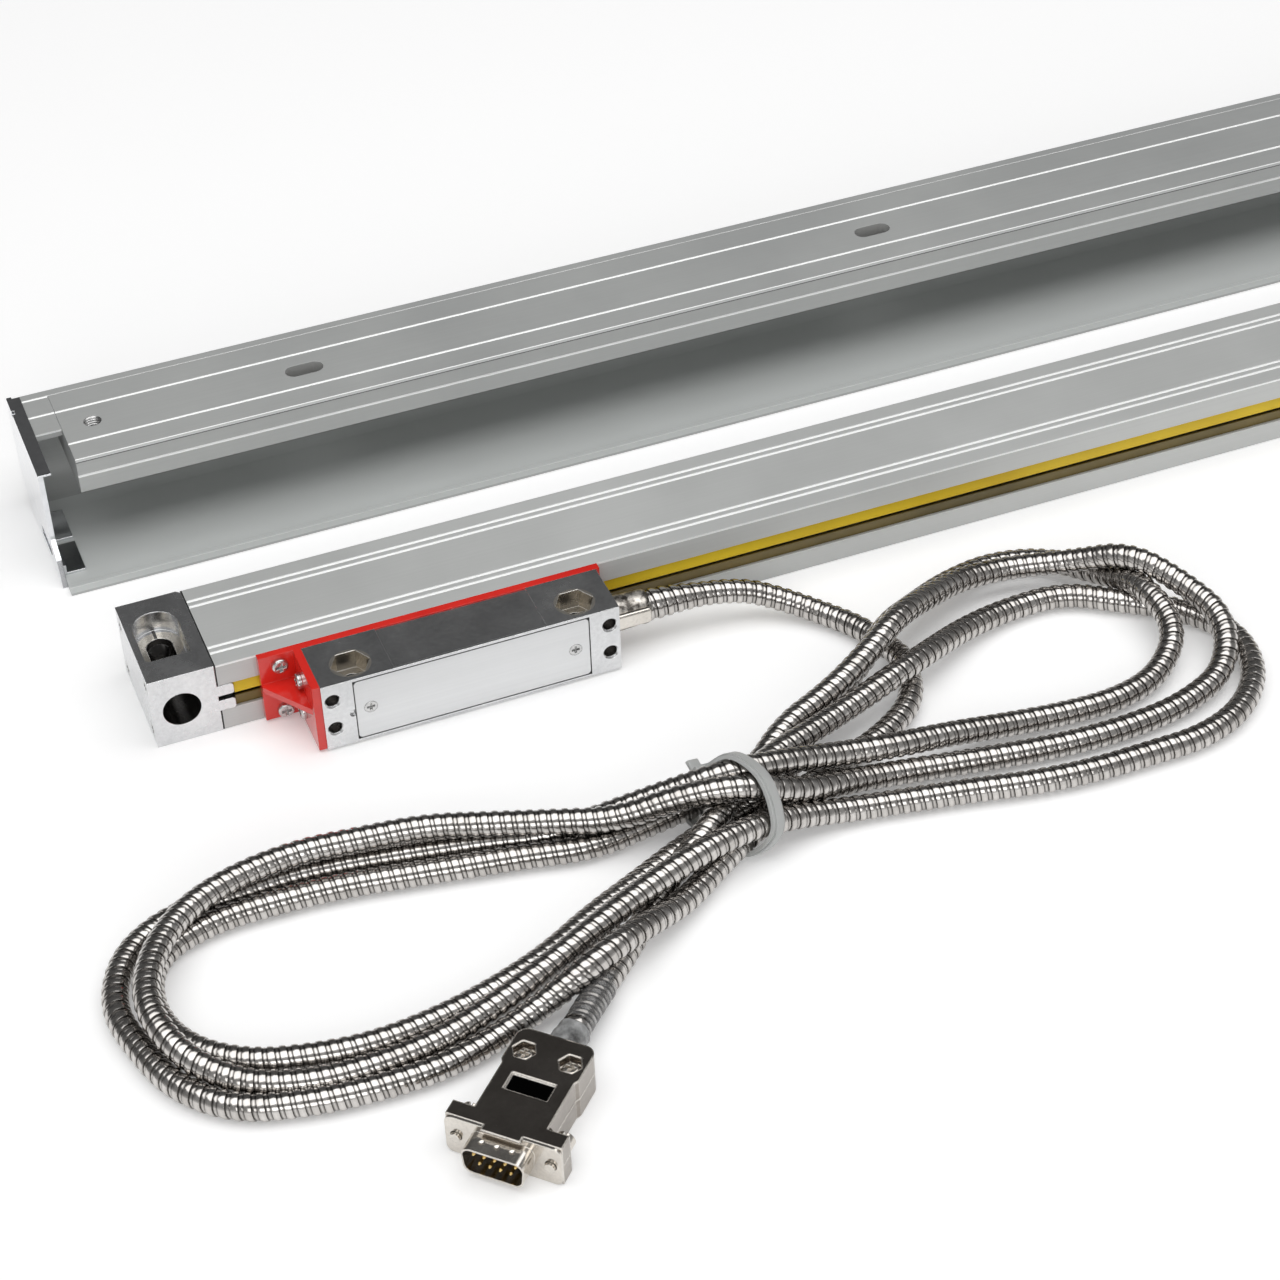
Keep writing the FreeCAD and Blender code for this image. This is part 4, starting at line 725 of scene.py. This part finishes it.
# A tube wound from one ribbed strip, laid along X in millimetres and then scaled to metres
def ribbedTube(name, length, profile, pitch, sides, flare=0.0, crisp=()):
    mesh = bpy.data.meshes.new(name)
    shape = bmesh.new()
    # each point keeps its level of painted shade, darker in the grooves
    band = shape.verts.layers.float.new("band")
    turns = int(length / pitch)
    line = []
    for turn in range(turns):
        for along, radius, level in profile:
            vert = shape.verts.new((turn * pitch + along, 0, radius))
            vert[band] = level
            line.append(vert)
    edges = [shape.edges.new(pair) for pair in zip(line, line[1:])]
    bmesh.ops.spin(
        shape, geom=line + edges, cent=(0, 0, 0), axis=(1, 0, 0), angle=2 * math.pi,
        steps=sides, dvec=(pitch / sides, 0, 0), use_merge=False, use_normal_flip=False,
        use_duplicate=False,
    )
    bmesh.ops.remove_doubles(shape, verts=shape.verts, dist=weld["turns"])
    bmesh.ops.recalc_face_normals(shape, faces=shape.faces)
    for edge in shape.edges:    # a helical edge joins two points of one level
        first, second = (vert[band] for vert in edge.verts)
        sharp = any(abs(first - level) <= weld["levels"] for level in crisp)
        edge.smooth = abs(first - second) > weld["levels"] or not sharp
    for vert in shape.verts:    # the first turns sit over the gland's spigot and taper off
        swell = 1 + flare * max(0.0, min(1.0, 2 - 2 * vert.co.x / hose["flareEnd"]))
        vert.co.y *= swell
        vert.co.z *= swell
    bmesh.ops.scale(shape, vec=(mm, mm, mm), verts=shape.verts)
    for face in shape.faces:
        face.smooth = True
    shape.to_mesh(mesh)
    shape.free()
    return mesh


def bendAlong(mesh, route, name):
    straight = linkedObject(name + "Straight", mesh)
    bend = straight.modifiers.new("bend", "CURVE")
    bend.object = route
    bpy.context.view_layer.update()
    shown = straight.evaluated_get(bpy.context.evaluated_depsgraph_get())
    bent = bpy.data.meshes.new_from_object(shown)
    bent.name = name
    bpy.data.objects.remove(straight)
    return bent


route = routeCurve()
path = readPath(route)
hoseLength = pathLength(path)
straightHose = ribbedTube(
    "hose", hoseLength / mm, bandProfile(), hose["pitch"], hose["sides"], hose["flare"],
    hose["crisp"],
)
hoseMesh = bendAlong(straightHose, route, "armouredHose")
print("hose bent along its route:", round(hoseLength, 3), "m,", len(hoseMesh.polygons), "faces")


def hoseFinish():
    material, tree, shader, place = newMaterial("stainlessHose")
    mottle = useGroup(tree, "mottle", {"Vector": place, "Scale": hose["cloudScale"]})
    band = addNode(tree, "ShaderNodeAttribute", attribute_name="band").outputs["Fac"]
    warm = ramp(tree, mottle["Cloud"],
                [(surface["cloudLow"], hose["dark"]), (surface["cloudHigh"], hose["light"])])
    # the band layer paints shade: towards deep in the grooves and at the shoulders
    colour = addNode(tree, "ShaderNodeMix", {
        "Factor": band, "A": (*hose["deep"], 1), "B": warm,
    }, data_type="RGBA")
    bump = addNode(tree, "ShaderNodeBump", {
        "Height": mottle["Cloud"], "Strength": hose["bump"], "Distance": hose["bumpHeight"],
    })
    tree.links.new(colour.outputs["Result"], shader.inputs["Base Color"])
    tree.links.new(bump.outputs["Normal"], shader.inputs["Normal"])
    shader.inputs["Metallic"].default_value = 1.0
    shader.inputs["Roughness"].default_value = hose["rough"]
    return material


finishes["hose"] = hoseFinish()


def closedMesh(name, shape, smooth=True):
    mesh = bpy.data.meshes.new(name)
    bmesh.ops.remove_doubles(shape, verts=shape.verts, dist=weld["mesh"])
    bmesh.ops.recalc_face_normals(shape, faces=shape.faces)
    for face in shape.faces:
        face.smooth = smooth
    shape.to_mesh(mesh)
    shape.free()
    return mesh


def toObject(name, shape, finish, body, hides=(), smooth=True):
    return finishedObject(name, closedMesh(name, shape, smooth), finish, body, hides)


# Cable tie: a ribbed strap drawn round the bundle, its lock and cut tail behind
tie = {
    "centre": (126, -118, 10.5),
    "yaw": 23.8,
    "lean": 24.0,
    "width": 4.8,
    "rim": 0.9,
    "thick": 1.0,
    "slack": 0.05,
    "floor": 0.05,
    "reach": 30.0,          # strands nearer than this to its centre are in the bundle
    "round": 1.2,
    "steps": 160,
    "tooth": 0.45,
    "toothMiddle": 0.1,     # a tooth's face lies this near the strap's middle line
    "toothUpright": 0.3,    # and leans no more than this
    "corner": 0.3,
    "cornerSteps": 2,
    "lockSize": (4.2, 5.6, 6.4),
    "lockPlace": (13.0, 2.0, 0.0),
    "lockTurn": 29.6,
    "tailSize": (4.6, 1.2, 4.4),
    "tailPlace": (15.6, 3.2, 0.3),
}


def tiePlane():
    yaw, lean = math.radians(tie["yaw"]), math.radians(tie["lean"])
    normal = Vector((math.cos(yaw) * math.cos(lean), math.sin(yaw) * math.cos(lean),
                     -math.sin(lean)))
    side = Vector((-math.sin(yaw), math.cos(yaw), 0))
    turn = Matrix((side, normal.cross(side), normal)).transposed().to_4x4()
    return Matrix.Translation(Vector(tie["centre"]) * mm) @ turn


def strandCentres(plane, reach):
    local = [plane.inverted() @ p for p in path]
    found = []
    for a, b in zip(local, local[1:]):
        if a.z * b.z < 0:
            cross = a.lerp(b, a.z / (a.z - b.z)).xy
            if cross.length < reach:
                found.append(cross)
    return found


# A rounded loop round the strands, and its points set out evenly
def strapLoop(centres, reach):
    rough = []
    for degree in range(360):
        out = Vector((math.cos(math.radians(degree)), math.sin(math.radians(degree))))
        pulls = [math.exp(c.dot(out) / (tie["round"] * mm)) for c in centres]
        held = sum((c * p for c, p in zip(centres, pulls)), Vector((0, 0))) / sum(pulls)
        far = math.log(sum(pulls)) * tie["round"] * mm
        rough.append(held + out * (far - held.dot(out) + reach))
    total = sum((b - a).length for a, b in zip(rough, rough[1:] + rough[:1]))
    gap = total / tie["steps"]
    loop, left = [], 0.0
    for a, b in zip(rough, rough[1:] + rough[:1]):
        run = (b - a).length
        while left < run and len(loop) < tie["steps"]:
            loop.append(a.lerp(b, left / run))
            left += gap
        left -= run
    return loop


# Two rings bridged to a flat band, which is then drawn out to the strap's width
def strapBand(shape, centres):
    inner = hose["diameter"] / 2 + tie["slack"]
    for reach in (inner, inner + tie["thick"]):
        ring = bmesh.ops.create_circle(shape, segments=tie["steps"], radius=1)["verts"]
        for vert, spot in zip(ring, strapLoop(centres, reach * mm)):
            vert.co = (spot.x, spot.y, -tie["width"] / 2 * mm)
    band = bmesh.ops.bridge_loops(shape, edges=shape.edges[:])["faces"]
    for run in (tie["rim"], tie["width"] - 2 * tie["rim"], tie["rim"]):
        moved = bmesh.ops.extrude_face_region(shape, geom=band)["geom"]
        band = [g for g in moved if isinstance(g, bmesh.types.BMFace)]
        bmesh.ops.translate(shape, vec=(0, 0, run * mm), verts=[
            g for g in moved if isinstance(g, bmesh.types.BMVert)])
    bmesh.ops.recalc_face_normals(shape, faces=shape.faces)


# Every second outer face of the strap's middle row stands up as a tooth
def raiseTeeth(shape, middle):
    teeth = []
    for face in shape.faces:
        spot = face.calc_center_median()
        outward = (spot.xy - middle).dot(face.normal.xy) > 0
        upright = abs(face.normal.z) < tie["toothUpright"]
        if abs(spot.z) < tie["toothMiddle"] * mm and outward and upright:
            teeth.append(face)
    teeth.sort(key=lambda f: math.atan2(*(f.calc_center_median().xy - middle)))
    for face in bmesh.ops.extrude_discrete_faces(shape, faces=teeth[::2])["faces"]:
        bmesh.ops.translate(shape, vec=face.normal * tie["tooth"] * mm, verts=face.verts)


def roundedBlock(shape, size, corner, segments):
    made = bmesh.ops.create_cube(shape, size=1)["verts"]
    bmesh.ops.scale(shape, vec=Vector(size) * mm, verts=made)
    edges = list({edge for vert in made for edge in vert.link_edges})
    return bmesh.ops.bevel(shape, geom=edges, offset=corner * mm, segments=segments,
                           profile=0.5, affect="EDGES", material=-1)["verts"]


def makeTie():
    plane = tiePlane()
    centres = strandCentres(plane, tie["reach"] * mm)
    shape = bmesh.new()
    strapBand(shape, centres)
    raiseTeeth(shape, sum(centres, Vector((0, 0))) / len(centres))
    for size, place in (("lockSize", "lockPlace"), ("tailSize", "tailPlace")):
        made = roundedBlock(shape, tie[size], tie["corner"], tie["cornerSteps"])
        bmesh.ops.rotate(shape, cent=(0, 0, 0), verts=made,
                         matrix=Matrix.Rotation(math.radians(tie["lockTurn"]), 3, "Z"))
        bmesh.ops.translate(shape, vec=Vector(tie[place]) * mm, verts=made)
    bmesh.ops.transform(shape, matrix=plane, verts=shape.verts)
    for vert in shape.verts:    # pressed flat where the bundle rests on it
        vert.co.z = max(vert.co.z, tie["floor"] * mm)
    return toObject("cableTie", shape, "nylon", "reader_head", ["cable_tie"], False)


tiePiece = makeTie()
print("tie made")

# Sleeve shrunk over the last turns of the hose, and the collar at the plug's hood
sleeve = {
    "start": 24.0,       # before the route's end
    "length": 21.0,
    "radius": 3.95,
    "rib": 0.3,
    "ribShape": [(0.0, 0.0), (0.16, 0.0), (0.36, 1.0), (0.84, 1.0)],    # share of pitch, height
    "collarStart": 3.6,
    "collar": [(0.0, 3.6), (0.0, 4.1), (0.6, 4.45), (2.2, 4.3), (3.2, 4.6), (5.4, 4.65),
               (8.2, 4.8), (8.4, 4.0)],
    "crease": 0.03,
    "creases": 5,
    "creaseTwist": 900,
    "sides": 32,
}


def shrunkTube():
    pitch = hose["pitch"]
    profile = [(share * pitch, sleeve["radius"] - sleeve["rib"] * (1 - height), height)
               for share, height in sleeve["ribShape"]]
    straight = ribbedTube("shrink", sleeve["length"], profile, pitch, sleeve["sides"])
    move = hoseLength - sleeve["start"] * mm
    for vert in straight.vertices:
        vert.co.x += move
    return bendAlong(straight, route, "shrinkSleeve")


def spunAlong(shape, line, sides):
    verts = [shape.verts.new((x * mm, 0, r * mm)) for x, r in line]
    edges = [shape.edges.new(pair) for pair in zip(verts, verts[1:])]
    bmesh.ops.spin(shape, geom=verts + edges, cent=(0, 0, 0), axis=(1, 0, 0),
                   angle=2 * math.pi, steps=sides, use_merge=True)


# Shallow dents round a spun shape, as fingers or a crimping tool leave them
def dentRound(shape, depth, dents, twist):
    for vert in shape.verts:
        around = math.atan2(vert.co.z, vert.co.y)
        dent = 1 + depth * math.sin(dents * around + vert.co.x * twist)
        vert.co.y *= dent
        vert.co.z *= dent


def collarMesh():
    shape = bmesh.new()
    spunAlong(shape, sleeve["collar"], sleeve["sides"])
    dentRound(shape, sleeve["crease"], sleeve["creases"], sleeve["creaseTwist"])
    for vert in shape.verts:
        vert.co.x += hoseLength - sleeve["collarStart"] * mm
    return bendAlong(closedMesh("collar", shape), route, "hoodCollar")


shrink = finishedObject("shrinkSleeve", shrunkTube(), "shrink", "reader_head",
                        ["plug_sleeve"])
collar = finishedObject("hoodCollar", collarMesh(), "collar", "reader_head",
                        ["plug_sleeve"])
print("sleeve made")

# Gland at the head: a crimped sleeve over the hose's end, and a flat bar in front
gland = {
    "axis": (0, -32.25, 12),
    "line": [(122.9, 3.4), (122.9, 5.1), (124.2, 5.3), (127.0, 5.2), (128.6, 5.0), (130.2, 5.15),
             (132.0, 4.95), (133.6, 5.05), (134.8, 4.9), (135.4, 4.4), (135.4, 3.4)],
    "sides": 40,
    "dent": 0.022,
    "dents": 6,
    "dentTwist": 1100,
    "barSize": (11.8, 2.2, 5.0),
    "barPlace": (128.8, -36.9, 12.6),
    "barCorner": 0.7,
    "cornerSteps": 3,
}


def makeGland():
    shape = bmesh.new()
    spunAlong(shape, gland["line"], gland["sides"])
    dentRound(shape, gland["dent"], gland["dents"], gland["dentTwist"])
    bmesh.ops.translate(shape, vec=Vector(gland["axis"]) * mm, verts=shape.verts)
    toObject("glandSleeve", shape, "crimped", "reader_head", ["cable_gland"])
    shape = bmesh.new()
    roundedBlock(shape, gland["barSize"], gland["barCorner"], gland["cornerSteps"])
    bmesh.ops.translate(shape, vec=Vector(gland["barPlace"]) * mm, verts=shape.verts)
    toObject("glandBar", shape, "nickel", "reader_head", ["cable_gland"], False)


makeGland()
print("gland made")

# Black sealant that shows as a thin line round the cover plate, partly the seal and partly painted
# shade in the gap
seam = {
    "low": (44.05, 1.75),       # along and height
    "high": (113.95, 22.55),
    "face": -42.95,
    "width": 0.32,
    "proud": 0.05,
}


def makeSeam():
    shape = bmesh.new()
    bmesh.ops.create_grid(shape, x_segments=1, y_segments=1, size=0.5)
    wide, tall = (b - a for a, b in zip(seam["low"], seam["high"]))
    bmesh.ops.scale(shape, vec=(wide, tall, 1), verts=shape.verts)
    bmesh.ops.rotate(shape, cent=(0, 0, 0), verts=shape.verts,
                     matrix=Matrix.Rotation(math.radians(90), 3, "X"))
    middle = [(a + b) / 2 for a, b in zip(seam["low"], seam["high"])]
    bmesh.ops.translate(shape, vec=(middle[0], seam["face"], middle[1]), verts=shape.verts)
    inner = shape.faces[:]
    bmesh.ops.inset_individual(shape, faces=inner, thickness=seam["width"], depth=0)
    bmesh.ops.delete(shape, geom=inner, context="FACES_ONLY")
    moved = bmesh.ops.extrude_face_region(shape, geom=shape.faces[:])["geom"]
    bmesh.ops.translate(shape, vec=(0, -seam["proud"], 0), verts=[
        g for g in moved if isinstance(g, bmesh.types.BMVert)])
    bmesh.ops.scale(shape, vec=(mm, mm, mm), verts=shape.verts)
    toObject("plateSeam", shape, "rubber", "reader_head", (), False)


makeSeam()

# Threads cut in the spar's two end holes
thread = {
    "places": (5.0, 522.0),
    "across": 90.1,
    "top": 34.9,
    "radius": 2.75,
    "depth": 0.42,
    "sunk": 0.02,       # its root, into the hole's wall
    "pitch": 0.8,
    "turns": 9,
    "sides": 28,
}


def makeThreads():
    shape = bmesh.new()
    root, crest = thread["radius"] + thread["sunk"], thread["radius"] - thread["depth"]
    for x in thread["places"]:
        line = []
        for turn in range(thread["turns"]):
            z = thread["top"] - turn * thread["pitch"]
            line.append(shape.verts.new((root, 0, z)))
            line.append(shape.verts.new((crest, 0, z - thread["pitch"] / 2)))
        edges = [shape.edges.new(pair) for pair in zip(line, line[1:])]
        bmesh.ops.spin(shape, geom=line + edges, cent=(0, 0, 0), axis=(0, 0, 1),
                       angle=2 * math.pi, steps=thread["sides"],
                       dvec=(0, 0, -thread["pitch"] / thread["sides"]), use_merge=False)
        fresh = [v for v in shape.verts if v.co.xy.length < 2 * thread["radius"]]
        bmesh.ops.translate(shape, vec=(x, thread["across"], 0), verts=fresh)
    bmesh.ops.scale(shape, vec=(mm, mm, mm), verts=shape.verts)
    toObject("sparThreads", shape, "steel", "scale", (), False)


makeThreads()
print("seam and threads made")
armour = finishedObject(
    "armouredHose", hoseMesh, "hose", "reader_head",
    ["cable_gland_run", "cable_hank", "cable_plug_run"],
)
bpy.data.objects.remove(route)


# Floor, lights and surroundings, in metres and watts
studio = {
    "floorHalf": 20.0,
    "floorShade": 0.92,
    "floorRough": 0.9,
    "floorLift": 0.2,
    "farLift": 0.6,         # away from the lights, so that the backdrop stays white
    "farStart": 0.7,
    "farEnd": 3.0,
    "overhead": {"place": (0.15, -0.1, 1.6), "width": 2.8, "depth": 1.5, "power": 21.0},
    "front": {"place": (-0.3, -1.7, 0.8), "width": 1.4, "depth": 0.7, "power": 7.0},
    "aim": (0.15, -0.05, 0),
    # brightness round about, by how high a direction points
    "heights": [(0.0, 0.8), (0.14, 0.6), (0.3, 0.32), (0.8, 0.32), (0.95, 0.8)],
    "frontSide": (-0.3, 1.0),       # a direction's y, and its brightness there
    "backSide": (0.5, 0.28),
}


def makeFloor():
    shape = bmesh.new()
    bmesh.ops.create_grid(shape, x_segments=1, y_segments=1, size=studio["floorHalf"])
    mesh = bpy.data.meshes.new("floor")
    shape.to_mesh(mesh)
    shape.free()
    floor = linkedObject("floor", mesh)
    material, tree, shader, place = newMaterial("floorWhite")
    shade = studio["floorShade"]
    shader.inputs["Base Color"].default_value = (shade, shade, shade, 1)
    shader.inputs["Roughness"].default_value = studio["floorRough"]
    shader.inputs["Specular IOR Level"].default_value = 0.0
    rays = addNode(tree, "ShaderNodeLightPath").outputs
    either = addNode(tree, "ShaderNodeMath", {
        0: rays["Is Camera Ray"], 1: rays["Is Glossy Ray"],
    }, operation="MAXIMUM")
    away = addNode(tree, "ShaderNodeVectorMath", {0: place}, operation="LENGTH")
    level = addNode(tree, "ShaderNodeMapRange", {
        "Value": away.outputs["Value"], "From Min": studio["farStart"],
        "From Max": studio["farEnd"], "To Min": studio["floorLift"], "To Max": studio["farLift"],
    })
    lift = addNode(tree, "ShaderNodeMath", {0: either.outputs[0], 1: level.outputs["Result"]},
                   operation="MULTIPLY")
    shader.inputs["Emission Color"].default_value = (1, 1, 1, 1)
    tree.links.new(lift.outputs[0], shader.inputs["Emission Strength"])
    floor.data.materials.append(material)


def makeLight(name):
    setting = studio[name]
    data = bpy.data.lights.new(name, "AREA")
    data.shape = "RECTANGLE"
    data.size = setting["width"]
    data.size_y = setting["depth"]
    data.energy = setting["power"]
    light = linkedObject(name, data)
    place = Vector(setting["place"])
    aim = Vector(studio["aim"]) - place
    turn = aim.to_track_quat("-Z", "Y").to_matrix().to_4x4()
    light.matrix_world = Matrix.Translation(place) @ turn


def makeWorld():
    world = bpy.data.worlds.new("studio")
    bpy.context.scene.world = world
    world.use_nodes = True
    tree = world.node_tree
    tree.nodes.clear()
    place = addNode(tree, "ShaderNodeTexCoord").outputs["Generated"]
    axes = addNode(tree, "ShaderNodeSeparateXYZ", {"Vector": place}).outputs
    height = ramp(tree, axes["Z"], studio["heights"])
    near, far = studio["frontSide"], studio["backSide"]
    facing = addNode(tree, "ShaderNodeMapRange", {
        "Value": axes["Y"], "From Min": near[0], "From Max": far[0], "To Min": near[1],
        "To Max": far[1],
    })
    around = addNode(tree, "ShaderNodeMix", {
        "Factor": 1.0, "A": height, "B": facing.outputs["Result"],
    }, data_type="RGBA", blend_type="MULTIPLY").outputs["Result"]
    seen = addNode(tree, "ShaderNodeLightPath").outputs["Is Camera Ray"]
    colour = addNode(tree, "ShaderNodeMix", {"Factor": seen, "A": around, "B": (1, 1, 1, 1)},
                     data_type="RGBA")
    background = addNode(tree, "ShaderNodeBackground", {
        "Color": colour.outputs["Result"], "Strength": 1.0,
    })
    out = addNode(tree, "ShaderNodeOutputWorld")
    tree.links.new(background.outputs["Background"], out.inputs["Surface"])


makeFloor()
makeLight("overhead")
makeLight("front")
makeWorld()
bpy.context.scene.view_settings.view_transform = "Standard"
print("studio lit")
